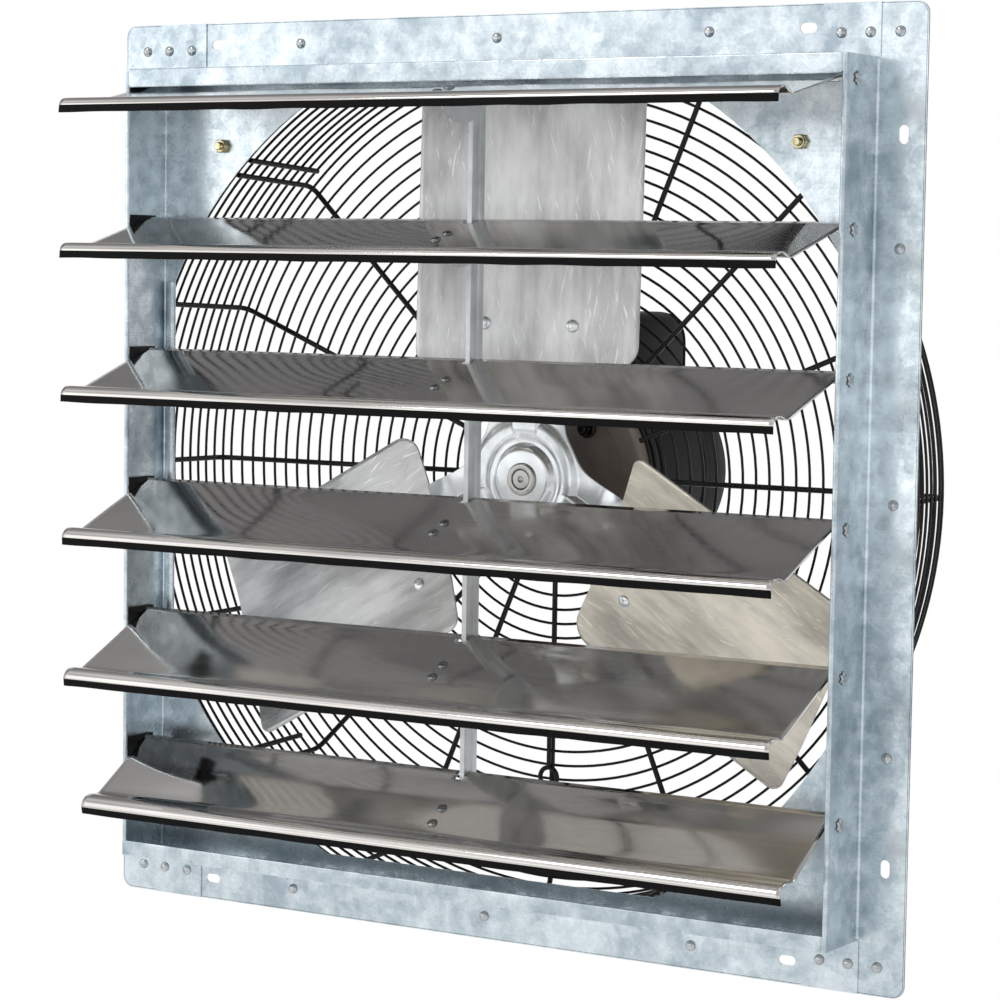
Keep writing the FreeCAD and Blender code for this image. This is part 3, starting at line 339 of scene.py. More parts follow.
def threaded(radius, start, end, pitch=1.0):
    """Return a bolt's end from one depth to another: rings of radius R and R - 0.54 p by turns."""
    turns = max(2, int((end - start) / pitch))
    depth = np.linspace(start, end, 2 * turns + 1)
    radii = np.where(np.arange(2 * turns + 1) % 2, radius, radius - 0.54 * pitch)
    return lathe(np.concatenate([[[0, start]], together(radii, depth), [[0, end]]]), 36)


def make_piece(name, surface, body, look, stands_for=(), sheet=0.0, sharp=35):
    """Make an object from a surface in millimetres and tie it to its body."""
    points, quads = surface
    mesh = bpy.data.meshes.new(name)
    mesh.from_pydata((points / 1000).tolist(), [], quads.tolist())
    work = bmesh.new()
    work.from_mesh(mesh)
    bmesh.ops.remove_doubles(work, verts=work.verts, dist=2e-6)
    bmesh.ops.dissolve_degenerate(work, edges=work.edges, dist=1e-6)
    bmesh.ops.recalc_face_normals(work, faces=work.faces)
    work.to_mesh(mesh)
    work.free()
    mesh.shade_smooth()
    mesh.set_sharp_from_angle(angle=math.radians(sharp))
    mesh.materials.append(LOOKS[look])
    piece = bpy.data.objects.new(name, mesh)
    bpy.context.scene.collection.objects.link(piece)
    if sheet:
        shell = piece.modifiers.new("Sheet", "SOLIDIFY")
        shell.thickness = sheet / 1000
        shell.offset = 0
    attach(piece, body)
    if stands_for:
        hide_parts(*stands_for)


def finish_nodes(names, look):
    """Give CAD nodes that stay in view a material through their objects' slots."""
    for name in names:
        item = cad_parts[name]
        if not item.material_slots:
            raise RuntimeError(f"{name} has no material slot")
        for place in item.material_slots:
            place.link = "OBJECT"
            place.material = LOOKS[look]


def add_node(tree, kind, inputs, out=0, stops=(), **settings):
    """Add a shader node with its settings, links, values and ramp stops, and return one of its outputs."""
    item = tree.nodes.new("ShaderNode" + kind)
    for key, value in settings.items():
        setattr(item, key, value)
    for key, value in inputs.items():
        if isinstance(value, bpy.types.NodeSocket):
            tree.links.new(value, item.inputs[key])
        else:
            item.inputs[key].default_value = value
    if stops:
        points = item.color_ramp.elements
        for _ in stops[2:]:
            points.new(0.5)
        for point, (position, value) in zip(points, stops):
            point.position = position
            point.color = value
    return item.outputs[out]


def start_material(name, sizes, shift=(0, 0, 0)):
    """Return a new material's node tree, its shifted position in metres and its layers of noise.

    A layer is the size of its features in mm and its detail, then, where they matter, the features' reach
    along each axis and their turn about Y.
    """
    material = LOOKS[name] = bpy.data.materials.new(name)
    material.use_nodes = True
    tree = material.node_tree
    place = add_node(tree, "TexCoord", {}, "Object")
    place = add_node(tree, "Mapping", {"Vector": place, "Location": shift})
    layers = {}
    for key, layer in sizes.items():
        millimetres, detail, reach, turned = layer + ((1, 1, 1), 0)[len(layer) - 2:]
        mapped = add_node(tree, "Mapping", {"Vector": place, "Scale": reach, "Rotation": (0, turned, 0)},
                          vector_type="TEXTURE")
        layers[key] = add_node(tree, "TexNoise", {"Vector": mapped, "Scale": 1000 / millimetres,
                                                  "Detail": detail})
    return tree, place, layers


def blend(tree, layers, shares):
    """Return the sum of layers, each times its share."""
    total = 0.0
    for key, share in shares.items():
        total = add_node(tree, "Math", {0: layers[key], 1: share, 2: total}, operation="MULTIPLY_ADD")
    return total


def finish_material(tree, tones, spread=(), relief=(), **values):
    """Link colour, roughness and relief to a shader and set its other values.

    Tones are a factor and the colours along it. The spread is a factor, its start and end, and the
    roughness at both. The relief is a factor, its height in mm and its strength.
    """
    shader = tree.nodes["Principled BSDF"].inputs
    factor, stops = tones
    tree.links.new(add_node(tree, "ValToRGB", {"Fac": factor}, stops=stops), shader["Base Color"])
    if spread:
        names = ("Value", "From Min", "From Max", "To Min", "To Max")
        tree.links.new(add_node(tree, "MapRange", dict(zip(names, spread))), shader["Roughness"])
    if relief:
        height, millimetres, strength = relief
        tree.links.new(add_node(tree, "Bump", {"Height": height, "Distance": millimetres / 1000,
                                               "Strength": strength}), shader["Normal"])
    for key, value in values.items():
        shader[key.replace("_", " ")].default_value = value


def shade(base, factor=1.0):
    """Return a colour multiplied by a factor, with alpha."""
    return tuple(min(1.0, c * factor) for c in base[:3]) + (1.0,)


def galvanised_sheet(colours):
    """Hot-dip galvanised steel: zinc sets in soft blue-grey clouds with faint 9 mm crystals, and where the
    clouds fall pale or dull is partly painted light and shade on the box.

    Rolling leaves fine level lines, and the dull clouds spread the reflection more than the pale ones.
    """
    tree, place, layers = start_material("galvanised_sheet", {
        "cloud": (62, 5, (1, 1, 1.7)), "mottle": (15, 5), "lines": (1.7, 2, (24, 24, 1)), "grain": (2.4, 2),
    }, SPANGLE_AND_SHADE_PLACE)
    crystal = 9
    cells = add_node(tree, "TexVoronoi", {"Vector": place, "Scale": 1000 / crystal}, "Color")
    layers["crystal"] = add_node(tree, "SeparateColor", {"Color": cells}, "Red")
    tone = blend(tree, layers, {"lines": 0.05, "grain": 0.12, "crystal": 0.06, "mottle": 0.32, "cloud": 0.4})
    finish_material(tree, (tone, [(0.38, shade(colours.galvanised_dull)), (0.52, shade(colours.galvanised)),
                                  (0.62, shade(colours.galvanised, 1.25))]),
                    (tone, 0.38, 0.62, 0.34, 0.18),
                    (blend(tree, layers, {"lines": 1.0, "mottle": 6.0}), 0.02, 0.25), Metallic=0.92)


def louver_aluminium(colours):
    """Mill-finish aluminium: rolled along X, so that reflections stay clear but smear along the sheet."""
    tree, _, layers = start_material("mill_aluminium", {"streaks": (1.2, 3, (100, 1, 1)),
                                                        "smudge": (110, 4, (2, 1, 1))})
    haze = blend(tree, layers, {"streaks": 0.4, "smudge": 0.6})
    base = colours.louver
    finish_material(tree, (layers["smudge"], [(0.32, shade(base, 0.74)), (0.64, shade(base))]),
                    (haze, 0.36, 0.64, 0.05, 0.16), (layers["streaks"], 0.002, 0.05), Metallic=1.0)


def blade_aluminium(base, number, turned):
    """Stamped aluminium: dull from handling, with smears along the blade and fine crossing scratches.

    The scratches are the crests of noise drawn out along two lines that cross.
    """
    tree, _, layers = start_material(f"stamped_aluminium_{number}", {
        "smear": (40, 5, (1, 1, 1.8), turned), "rub": (7, 4, (1, 1, 7), turned),
        "left_scratch": (1.5, 1, (1, 1, 44), turned - 0.3),
        "right_scratch": (1.5, 1, (1, 1, 44), turned + 0.17)})
    for key in ("left_scratch", "right_scratch"):
        layers[key] = add_node(tree, "MapRange", {"Value": layers[key], "From Min": 0.69, "From Max": 0.73})
    layers["tone"] = blend(tree, layers, {"rub": 0.3, "smear": 0.7})
    marked = blend(tree, layers, {"tone": 1.0, "left_scratch": 0.13, "right_scratch": 0.13})
    finish_material(tree, (marked, [(0.38, shade(base, 0.55)), (0.5, shade(base, 0.84)),
                                    (0.64, shade(base, 1.15))]), (layers["tone"], 0.36, 0.64, 0.26, 0.5),
                    (blend(tree, layers, {"rub": 1.0, "smear": 6.0}), 0.02, 0.3), Metallic=0.88)


def plated(name, base, rough, patch=24, depth=0.8, metal=1.0):
    """Electroplated steel: a thin bright coat that dulls a little where it was handled."""
    tree, _, layers = start_material(name, {"patches": (patch, 4)})
    finish_material(tree, (layers["patches"], [(0.35, shade(base, depth)), (0.65, shade(base))]),
                    (layers["patches"], 0.35, 0.65, rough + 0.1, rough), Metallic=metal)


def coated(name, base, rough, grain, depth, sheen):
    """A sprayed or moulded surface: fine orange peel breaks up a weak highlight, dust pales it in places."""
    tree, _, layers = start_material(name, {"peel": (grain, 3), "dust": (grain * 22, 4)})
    dusty = tuple(c * 1.5 + 0.003 for c in base) + (1.0,)
    finish_material(tree, (layers["dust"], [(0.4, shade(base)), (0.75, dusty)]),
                    (layers["dust"], 0.3, 0.7, rough, rough + 0.15), (layers["peel"], depth, 0.4),
                    Specular_IOR_Level=sheen)


def ground_steel(colours):
    """Ground steel bar: fine turning lines run round the axis, so the highlight stays narrow."""
    tree, _, layers = start_material("ground_steel", {"lines": (0.8, 2, (10, 1, 10))})
    finish_material(tree, (layers["lines"], [(0.3, shade(colours.steel, 0.8)), (0.7, shade(colours.steel))]),
                    (layers["lines"], 0.3, 0.7, 0.18, 0.34), Metallic=1.0)


def make_looks(settings):
    """Make the finishes, once."""
    if LOOKS:
        return
    c = settings.colours
    galvanised_sheet(c)
    louver_aluminium(c)
    ground_steel(c)
    # Fresh plate mirrors its surroundings, worn and dulled plate keeps only a grey gleam, and a sawn or
    # stamped iron edge is dark and rough.
    plated("bright_zinc", c.zinc, 0.16)
    plated("worn_zinc", shade(c.zinc, 0.36), 0.2, 5, 0.7)
    plated("dull_zinc", c.zinc, 0.4, 30, 0.75, 0.75)
    # The polished zinc's base is darkened to 0.72 of the zinc as painted shade: it stands in for the dark
    # surroundings that the polished domes mirror.
    plated("polished_zinc", shade(c.zinc, 0.72), 0.08, 5, 0.7)
    plated("yellow_zinc", c.yellow, 0.16, 4, 0.6)
    plated("laminated_iron", c.iron, 0.5, 7, 0.6)
    # Dipped wire shines in thin lines, extruded rubber is dull, moulded nylon has a faint gleam, and
    # sprayed enamel a broad soft one.
    coated("black_wire_coat", c.wire, 0.14, 1.5, 0.01, 0.26)
    coated("seal_rubber", c.seal, 0.7, 2.0, 0.06, 0.12)
    coated("black_nylon", c.nylon, 0.48, 1.2, 0.03, 0.3)
    coated("black_enamel", c.enamel, 0.4, 2.2, 0.02, 0.1)
    coated("taupe_enamel", c.taupe, 0.38, 2.2, 0.03, 0.4)
    for i in range(BLADES):
        turned = settings.drive.blade_lead + 2 * math.pi / BLADES * i
        blade_aluminium(c.blade_warm if i == 1 else c.blade, i + 1, turned)


def louver_place(sizes, k):
    """Return a louver's pivot (y, z) and its tilt."""
    last = k == LOUVERS - 1
    tilt = sizes.last_tilt if last else sizes.tilt + sizes.tilt_step * k
    return np.array([0, -sizes.inset, sizes.top - sizes.pitch * k]), tilt


def louver_depth(sizes, k):
    """Return the distance from a louver's pivot to its front edge."""
    return sizes.last_depth if k == LOUVERS - 1 else sizes.depth


def louver_wave(sizes, k, x, y):
    """Return the height of a louver's waves: (b (1 - (x / half)^2) + a sin(x / l + 1.7 k)) sin(pi t)."""
    bow, wave, start, front = 0.6, 33, -2, 32
    share = np.clip((start - y) / (louver_depth(sizes, k) - front), 0, 1)
    crown = bow * (1 - (x / sizes.half) ** 2)
    return (crown + sizes.ripple * np.sin(x / wave + 1.7 * k)) * np.sin(np.pi * share)


def louver_surface(sizes, k):
    """Return a louver's sheet: p(x, t) = (x, y(t), z(t) + w(x, t)) with the waves w on the flat.

    The profile (y, z) is a flat, an ogee and a nose c + (-reach sin a, rise cos a). The tail is notched
    for the tie bar.
    """
    depth, half = louver_depth(sizes, k), sizes.half
    level, notch, nose_reach, nose_rise = 3.0, (-5.4, 1.4), 7.3, 4.3
    flat = together(np.linspace(-2, 30 - depth, 24), level)
    ogee = rounded_path([(30 - depth, level), (21.5 - depth, level), (13.5 - depth, level + 6.6),
                         (8.5 - depth, level + 8.05)], 4, 9)
    turns = np.radians(np.linspace(4, 90, 16))
    nose = together(7.5 - nose_reach * np.sin(turns) - depth, 6.8 + nose_rise * np.cos(turns))
    main = np.concatenate([flat[:-1], ogee, nose])
    whole = np.concatenate([np.array([[8.0, level], [3.0, level]]), main])

    def strip(profile, start, end, count):
        """Return the sheet over one run of X."""
        x = np.linspace(start, end, count)[:, None]
        y, z = profile[None, :, 0], profile[None, :, 1]
        return grid(together(x, y, z + louver_wave(sizes, k, x, y)))

    return joined(strip(whole, -half, notch[0], 80), strip(main, *notch, 6), strip(whole, notch[1], half, 80))


def seal_surface(sizes, k):
    """Return a louver's seal: a strip that hangs from the lip, its lower edge 0.3 sin(x / 11) wavy."""
    depth, half = louver_depth(sizes, k), sizes.half
    x = np.linspace(-half, half, 240)[:, None]
    t = np.linspace(0, 1, 6)[None, :]
    y = -depth + 0.5 - 2.0 * t
    z = 7.6 - 5.2 * t + 0.3 * t * np.sin(x / 11 + 2 * k) * np.sin(x / 71)
    return grid(together(x, y, z))


def star_head(outer=5.2, rise=1.3):
    """Return a splayed pin end along -Y: radius t (R - 0.9 + 0.9 cos 6v), height h (1 - 0.5 t^3)."""
    t = np.concatenate([np.linspace(0, 1, 8), [1.0, 0.0]])[:, None]
    v = circle(48)[None, :]
    far = t * (outer - 0.9 + 0.9 * np.cos(6 * v))
    high = rise * (1 - 0.5 * t ** 3)
    high[-2:] = 0
    return grid(together(far * np.sin(v), -high, far * np.cos(v)), False, True)


def pins_surface():
    """Return a louver's two pivot pins about X, headed on the outside of the box."""
    radius, outer, inner = 2.6, -308.3, -280.7
    stem = lathe([(0, outer), (radius, outer), (radius, inner - 0.5), (radius - 0.5, inner), (0, inner)], 32)
    one = joined(stem, copies(star_head(), [(0, outer + 0.2, 0)]))
    return copies(one, np.zeros((2, 3)), [about_z(-math.pi / 2), about_z(math.pi / 2)])


def bar(profile, start, end):
    """Return a closed profile (x, y) drawn straight along Z, closed at both ends."""
    profile = np.asarray(profile, float)
    middle = np.broadcast_to(profile.mean(0), profile.shape)
    rings = np.stack([middle, profile, profile, middle])
    height = np.broadcast_to(np.array([start, start, end, end], float)[:, None, None], (4, len(profile), 1))
    return grid(np.concatenate([rings, height], -1), False, True)


def frame_bends():
    """Return the rounded bends between walls and flange, the seams inside and the rolled front edges.

    A bend is the quarter c + r (-cos t, sin t), a seam its mirror image of less radius, and a rolled
    edge the half oval (a cos t, -b sin t).
    """
    corner, radius, inside, seam = 307.7, 2.0, 306.8, 1.4
    t = np.linspace(0, np.pi / 2, 9)
    bend = together(corner + radius - radius * np.cos(t), -radius + radius * np.sin(t))
    bend = np.concatenate([bend, [[corner - 0.3, 0.3]]])
    fillet = together(inside - seam + seam * np.cos(t), 0.9 - seam + seam * np.sin(t))
    fillet = np.concatenate([fillet, [[inside + 0.2, 1.1]]])
    t = np.linspace(0, np.pi, 13)
    middle, front, wide, high = 305.95, -47.7, 1.75, 1.6
    edge = together(middle + wide * np.cos(t), front - high * np.sin(t))
    sides = [bar(profile, -306, 306) for profile in (bend, fillet, edge)]
    across = bar(bend, -265.5, 265.5)
    upright = about_y(-np.pi / 2)[0]
    parts = [copies(item, ORIGIN, np.diag([side, 1.0, 1])) for item in sides for side in (-1.0, 1)]
    parts += [copies(across, ORIGIN, matrix) for matrix in (upright, np.diag([1.0, 1, -1]) @ upright)]
    return joined(*parts)


def cut_edge():
    """Return the bare cut edge round the flange: a tube along a square with arcs c + r (cos t, sin t)."""
    half, corner, wire = 345.0, 9.0, 0.95
    t = np.linspace(0, np.pi / 2, 9)[None, :] + np.pi / 2 * np.arange(4)[:, None]
    centre = (half - corner) * np.sign(together(np.cos(t[:, 4]), np.sin(t[:, 4])))[:, None]
    path = (centre + (corner - wire + 0.1) * together(np.cos(t), np.sin(t))).reshape(-1, 2)
    return tube(np.insert(path, 1, 0.9, 1), wire, (0, 1, 0), 10, True)


def front_lip(edge, side):
    """Return a front lip with a rolled free edge and a rounded bend, drawn across the box."""
    outer, face, back = 308.0, -49.0, -47.7
    profile = rounded_path([(edge, back), (edge, face), (outer, face), (outer, back + 2),
                            (outer - 1, back + 2), (outer - 1, back), (edge, back)], 1.3, 6)[:-1]
    return copies(bar(profile, -303.8, 303.8), ORIGIN, np.diag([1.0, 1, side]) @ about_y(-np.pi / 2)[0])


def tie_channel():
    """Return the upright channel that joins the louvers, with rounded bends and a pressed groove."""
    face, front, back, edge, thick, web, groove = 0.0, -31.0, -13.5, -4.0, 1.2, -2.0, 0.8
    profile = rounded_path([(edge, front), (face, front), (face, -25.4), (face - groove, -24.6),
                            (face - groove, -20.6), (face, -19.8), (face, back), (edge, back),
                            (edge, back - thick), (web, back - thick), (web, front + thick),
                            (edge, front + thick), (edge, front)], 0.7, 5)[:-1]
    return bar(profile, -247.0, 285.0)


def panel_hems():
    """Return the rolled hems along the upright runs of the air opening: half ovals (a cos t, -b sin t)."""
    t = np.linspace(0, np.pi, 17)
    middle, level, wide, high, half = 301.0, 1.0, 4.5, 2.4, 144
    edge = together(middle + wide * np.cos(t), level - high * np.sin(t))
    return copies(bar(edge, -half, half), np.zeros((2, 3)), about_y(np.pi * np.arange(2)))


def guard_run(sizes, inner, outer_depth):
    """Return a carrying wire's path (radius, depth): across the back, round the bend, down the side."""
    front, back, depth = sizes.front, sizes.back, sizes.depth
    slope = (front - back) / depth
    path = [(inner, depth), (back, depth), (front - slope * outer_depth, outer_depth)]
    return rounded_path(path, sizes.bend, 10)


def standing(path, angles, aside):
    """Return (radius, depth) paths stood in planes beside the axis, one for each angle from X."""
    angles = np.asarray(angles)[:, None]
    radius, depth = path[None, :, 0], path[None, :, 1]
    x = radius * np.cos(angles) - aside * np.sin(angles)
    z = radius * np.sin(angles) + aside * np.cos(angles)
    return together(x, depth, z)


def guard_wires(sizes):
    """Return the carrying wires, with the eyes on the motor and the short braces of the feet.

    Every fourth wire stands beside a diagonal and ends in an eye, with a brace on the diagonal's other side.
    """
    wire, foot = sizes.wire, sizes.foot
    eye, eye_ring, start = sizes.eyes, 5.5, 6
    rise, lean = 83, 0.098
    brace = guard_run(sizes, 0, start)[-1] + np.array([[-lean * rise, rise], [0, 0]])
    steps = np.radians(22.5 * np.arange(16))
    plain = steps[np.arange(16) % 4 != 2]
    parts = []
    for angles, path, aside in ((plain, guard_run(sizes, 79, 4.2), 0),
                                (DIAGONALS, guard_run(sizes, eye + eye_ring, start), foot),
                                (DIAGONALS, brace, -foot)):
        for angle, line in zip(angles, standing(path, angles, aside)):
            parts.append(tube(line, wire, (-math.sin(angle), 0, math.cos(angle)), 12))
    spots = standing(np.array([[eye, sizes.depth]]), DIAGONALS, foot)[:, 0]
    parts.append(copies(hoop(eye_ring, 0, wire, 36, 12), spots))
    return joined(*parts)


def guard_side(sizes):
    """Return the thick front hoop, the thin hoops round the guard's side and two more at its bend."""
    wire, thin = sizes.wire, sizes.hoop_wire
    slope = (sizes.front - sizes.back) / sizes.depth
    first, step, bend_hoops = 15, 9.4, ((324.4, 91), (320.6, 97.8))
    depths = first + step * np.arange(8) + thin
    rings = [hoop(sizes.front - slope * y + wire + thin, y, thin) for y in depths]
    rings += [hoop(radius, y, thin) for radius, y in bend_hoops]
    return joined(hoop(sizes.front - slope * 8 + 2 * wire, 8.1, wire), *rings)


def guard_back(sizes):
    """Return the thin hoops across the guard's back."""
    thin = sizes.hoop_wire
    depth = sizes.depth + sizes.wire + thin
    radii = sizes.first_hoop - sizes.hoop_step * np.arange(22)
    return joined(*[hoop(radius, depth, thin, 160 if radius > 180 else 96, 8) for radius in radii])


def guard_feet(sizes):
    """Return the bent-wire feet: two legs and a half circle in the plane of the panel."""
    foot, bolt = sizes.foot, sizes.bolts * math.sqrt(2)
    half = np.linspace(-np.pi / 2, np.pi / 2, 17)
    bow = together(bolt + foot * np.cos(half), foot * np.sin(half))
    start = np.array([[sizes.front - 1, -foot], [bolt - 6, -foot]])
    path = np.concatenate([start, bow, start[::-1] * (1, -1)])
    parts = []
    for angle in DIAGONALS:
        out = np.array([math.cos(angle), 0, math.sin(angle)])
        across = np.array([-math.sin(angle), 0, math.cos(angle)])
        line = path[:, :1] * out + path[:, 1:] * across + (0, 1.8 + sizes.wire, 0)
        parts.append(tube(line, sizes.wire, (0, 1, 0), 12))
    return joined(*parts)


def guard_clip(sizes):
    """Return the bent-wire hook on the lower carrying wire: a ring of wire with a short tail."""
    wire, ring, middle, top = 1.9, 7.5, -234, -196
    depth = sizes.depth - 5.2
    turns = np.linspace(0.6, 2 * np.pi - 0.1, 26)
    bow = together(ring * np.sin(turns), depth, middle - ring * np.cos(turns))
    tail = np.array([[0.0, depth, middle + ring], [0, depth, top]])
    return joined(tube(bow, wire, (0, 1, 0), 10), tube(tail, wire, (0, 1, 0), 10))


def blade_surface(sizes):
    """Return one blade about its length: p(s, r) = (s, n(s), r), upright and unpitched.

    A side stands at W - c + sqrt(c^2 - (c - d)^2) within c of an end at a distance d, with a c for each
    corner, and the outer parts bend by n = -tan(bend) max(|s| - flat, 0), eased over the crease.
    """
    half, flat = sizes.blade_half, sizes.blade_flat
    inner, long = sizes.blade_inner, sizes.blade_long
    zone, ease, dent = 20, 3, 0.35
    quarter = zone * (1 - np.cos(np.linspace(0, np.pi / 2, 12)))
    ends = np.concatenate([quarter[:-1], np.linspace(zone, long - zone, 36), long - quarter[-2::-1]])[:, None]

    def side(at_start, at_end):
        """Return the width on one side of the middle line."""
        nearest = ends < long / 2
        corner = np.where(nearest, at_start, at_end)
        gap = np.minimum(np.where(nearest, ends, long - ends), corner)
        return half - corner + np.sqrt(np.maximum(corner ** 2 - (corner - gap) ** 2, 0))

    across = np.linspace(0, 1, 31)[None, :]
    left = -side(sizes.blade_round, sizes.blade_tip_round) * across[:, :0:-1]
    right = side(sizes.blade_heel_round, sizes.blade_tip_round) * across
    s = np.concatenate([left, right], 1)
    over = np.abs(s) - flat
    eased = np.where(over < -ease, 0, np.where(over > ease, over, (over + ease) ** 2 / (4 * ease)))
    dents = dent * np.sin(ends / 23) * np.sin(s / 19 + 1) * smooth((ends - 70) / 40)
    n = -math.tan(sizes.blade_bend) * eased + dents
    return grid(together(s, n, ends + inner))


def spider_outline():
    """Return the spider's outline (s, r) round all three arms, its corners rounded."""
    arm = np.array([[-33, 38], [-33, 62], [-40, 94], [-34, 148], [34, 148], [40, 94], [33, 62], [33, 38.0]])
    turns = np.radians(120 * np.arange(BLADES))
    c, s = np.cos(turns)[:, None], np.sin(turns)[:, None]
    points = together(arm[:, 0] * c + arm[:, 1] * s, -arm[:, 0] * s + arm[:, 1] * c).reshape(-1, 2)
    path = rounded_path(np.concatenate([points[-1:], points, points[:1]]), 9, 8)
    gaps = np.linalg.norm(np.diff(path[1:-1], axis=0, append=path[1:2]), axis=1)
    reach = np.concatenate([[0], np.cumsum(gaps)])
    ring = np.concatenate([path[1:-1], path[1:2]])
    even = np.linspace(0, reach[-1], 360, endpoint=False)
    return together(np.interp(even, reach, ring[:, 0]), np.interp(even, reach, ring[:, 1]))


def spider_surface(sizes):
    """Return the pressed spider: p(u, t) = shaft edge (1 - t) + outline t, raised by its pressings.

    Forward of the plate stand a boss of radius 23, and on each arm a rib along its length; beyond a
    radius of 62 the arm turns by the pitch, eased up to 94.
    """
    edge = spider_outline()
    hub = edge / np.linalg.norm(edge, axis=1, keepdims=True) * sizes.shaft
    t = np.linspace(0, 1, 72)[None, :, None] ** 1.3
    flat = hub[:, None] * (1 - t) + edge[:, None] * t
    x, z = flat[..., 0], flat[..., 1]
    far = np.hypot(x, z)
    bearing = np.arctan2(x, z)
    third = 2 * np.pi / BLADES
    home = np.round(bearing / third) * third
    s = far * np.sin(bearing - home)
    r = far * np.cos(bearing - home)
    level = sizes.blade_sheet / 2 + sizes.spider_sheet / 2
    boss = 4.0 * smooth((27 - far) / 5)
    rib = 3.2 * smooth((15 - np.abs(s)) / 6) * smooth((r - 30) / 8) * smooth((92 - r) / 22)
    rim = 2.2 * smooth((far - 30) / 5) * smooth((47 - far) / 6)
    n = level - boss - np.maximum(rib, rim)
    pitch = sizes.blade_pitch * smooth((r - 58) / 38)
    side = s * np.cos(pitch) - n * np.sin(pitch)
    depth = s * np.sin(pitch) + n * np.cos(pitch)
    x = side * np.cos(home) + r * np.sin(home)
    z = -side * np.sin(home) + r * np.cos(home)
    return grid(together(x, depth, z), True, False)


def rear_bell_surface(sizes):
    """Return the motor's rear bell: p(v, t) about Y, y = Y - D t^6 with vents pressed in."""
    radius, end, drop, vents, press = sizes.motor, 244.6, 13, 24, 4.0
    v = circle(288)[:, None]
    t = np.linspace(0, 1, 48)[None, :]
    far = radius * t
    vent = smooth((0.62 - np.abs((v * vents / (2 * np.pi)) % 1 - 0.5) * 2) * 6)
    band = smooth((far - 38) / 2.5) * smooth((62 - far) / 2.5)
    hub = 2.5 * smooth((24 - far) / 4)
    depth = end + hub - drop * t ** 6 - press * vent * band
    cap = together(far * np.sin(v), depth, far * np.cos(v))
    skirt = together(radius * np.sin(v), np.array([[end - drop, 218.0, 206.1, 205.1]]), radius * np.cos(v))
    return grid(np.concatenate([cap, skirt[:, 1:]], 1), True, False)


def box_outline():
    """Return the junction box's outline (x, z): upright sides and a round-shouldered top."""
    corners = [(0, 52.0), (42, 52.0), (42, 126.0), (-42, 126.0), (-42, 52.0), (0, 52.0)]
    return rounded_path(corners, 26, 14)[:-1]


class FanOperator:
    """What the fan's operators share."""

    bl_options = {"REGISTER", "UNDO"}

    @staticmethod
    def prepare(context):
        """Return the settings, with the finishes made."""
        settings = context.scene.shutter_fan
        make_looks(settings)
        return settings


class SHUTTERFAN_OT_frame(FanOperator, bpy.types.Operator):
    """Finish the sheet-metal box, the bearing plates and the linkage"""

    bl_idname = "shutter_fan.frame"
    bl_label = "Finish Frame"

    def execute(self, context):
        """Put the finishes on the CAD nodes that stay, and make the bends, edges and channel."""
        self.prepare(context)
        for names, look in ((["left_side_frame", "right_side_frame", "top_frame", "bottom_frame",
                              "venturi_panel"], "galvanised_sheet"),
                            (["left_pivot_plates", "right_pivot_plates"], "black_nylon"),
                            ([f"louver_arm_{k + 1}" for k in range(LOUVERS)], "dull_zinc"),
                            (["front_bearing", "rear_bearing", "hub_set_screw"], "ground_steel"),
                            (["motor_stator", "motor_rotor"], "laminated_iron")):
            finish_nodes(names, look)
        make_piece("frame_bends", frame_bends(), "frame", "galvanised_sheet")
        make_piece("flange_cut_edge", cut_edge(), "frame", "laminated_iron")
        make_piece("panel_hems", panel_hems(), "frame", "galvanised_sheet")
        lips = joined(front_lip(293.8, 1), front_lip(296.2, -1))
        make_piece("front_lips", lips, "frame", "galvanised_sheet")
        make_piece("tie_channel", tie_channel(), "linkage", "dull_zinc", ["tie_bar"])
        return {"FINISHED"}


class SHUTTERFAN_OT_rivets(FanOperator, bpy.types.Operator):
    """Make the rivets of the flange and its corners"""

    bl_idname = "shutter_fan.rivets"
    bl_label = "Make Rivets"

    def execute(self, context):
        """Make both sets of rivets: a row of three on each side, and rows of three at the corners."""
        self.prepare(context)
        head = dome(3.9, 2.5)
        a, b = np.meshgrid([-176.5, 0, 176.5], [-327.7, 327.7])
        a, b = a.ravel(), b.ravel()
        spots = np.concatenate([together(a, 0, b), together(b, 0, a)])
        make_piece("flange_rivet_heads", copies(head, spots), "frame", "polished_zinc", ["flange_rivets"])
        tab_start, tab_face = 310, -0.9
        a, b = np.meshgrid([-324.2, -302.1, -280, 280, 302.1, 324.2], [-324.5, 324.5])
        a, b = a.ravel(), b.ravel()
        spots = together(a, np.where(np.abs(a) > tab_start, 0, tab_face), b)
        make_piece("corner_rivet_heads", copies(head, spots), "frame", "polished_zinc", ["corner_rivets"])
        return {"FINISHED"}


class SHUTTERFAN_OT_louvers(FanOperator, bpy.types.Operator):
    """Make the louvers with their seals, rivets and pivot pins"""

    bl_idname = "shutter_fan.louvers"
    bl_label = "Make Louvers"

    def execute(self, context):
        """Make the pieces of each louver and hang them on its pivot."""
        sizes = working_sizes(self.prepare(context).louvers)
        upright, strip = about_x(-math.pi / 2), 1.1
        for k in range(LOUVERS):
            pivot, tilt = louver_place(sizes, k)
            body, number = f"shutter_{k + 1}", k + 1
            hang = about_x(tilt)
            make_piece(f"louver_sheet_{number}", copies(louver_surface(sizes, k), [pivot], hang), body,
                       "mill_aluminium", [f"louver_{number}"], sizes.sheet)
            make_piece(f"louver_strip_{number}", copies(seal_surface(sizes, k), [pivot], hang), body,
                       "seal_rubber", [f"louver_seal_{number}"], strip)
            seats = np.array([[2.0, -35, 3.3], [2.0, -51, 3.3]])
            seats[:, 2] += louver_wave(sizes, k, seats[:, 0], seats[:, 1])
            heads = copies(dome(4.1, 2.3), seats @ hang.T + pivot, hang @ upright)
            make_piece(f"louver_rivets_{number}", heads, body, "worn_zinc")
            make_piece(f"pivot_pins_{number}", copies(pins_surface(), [pivot]), body, "polished_zinc",
                       [f"louver_pins_{number}"])
        return {"FINISHED"}


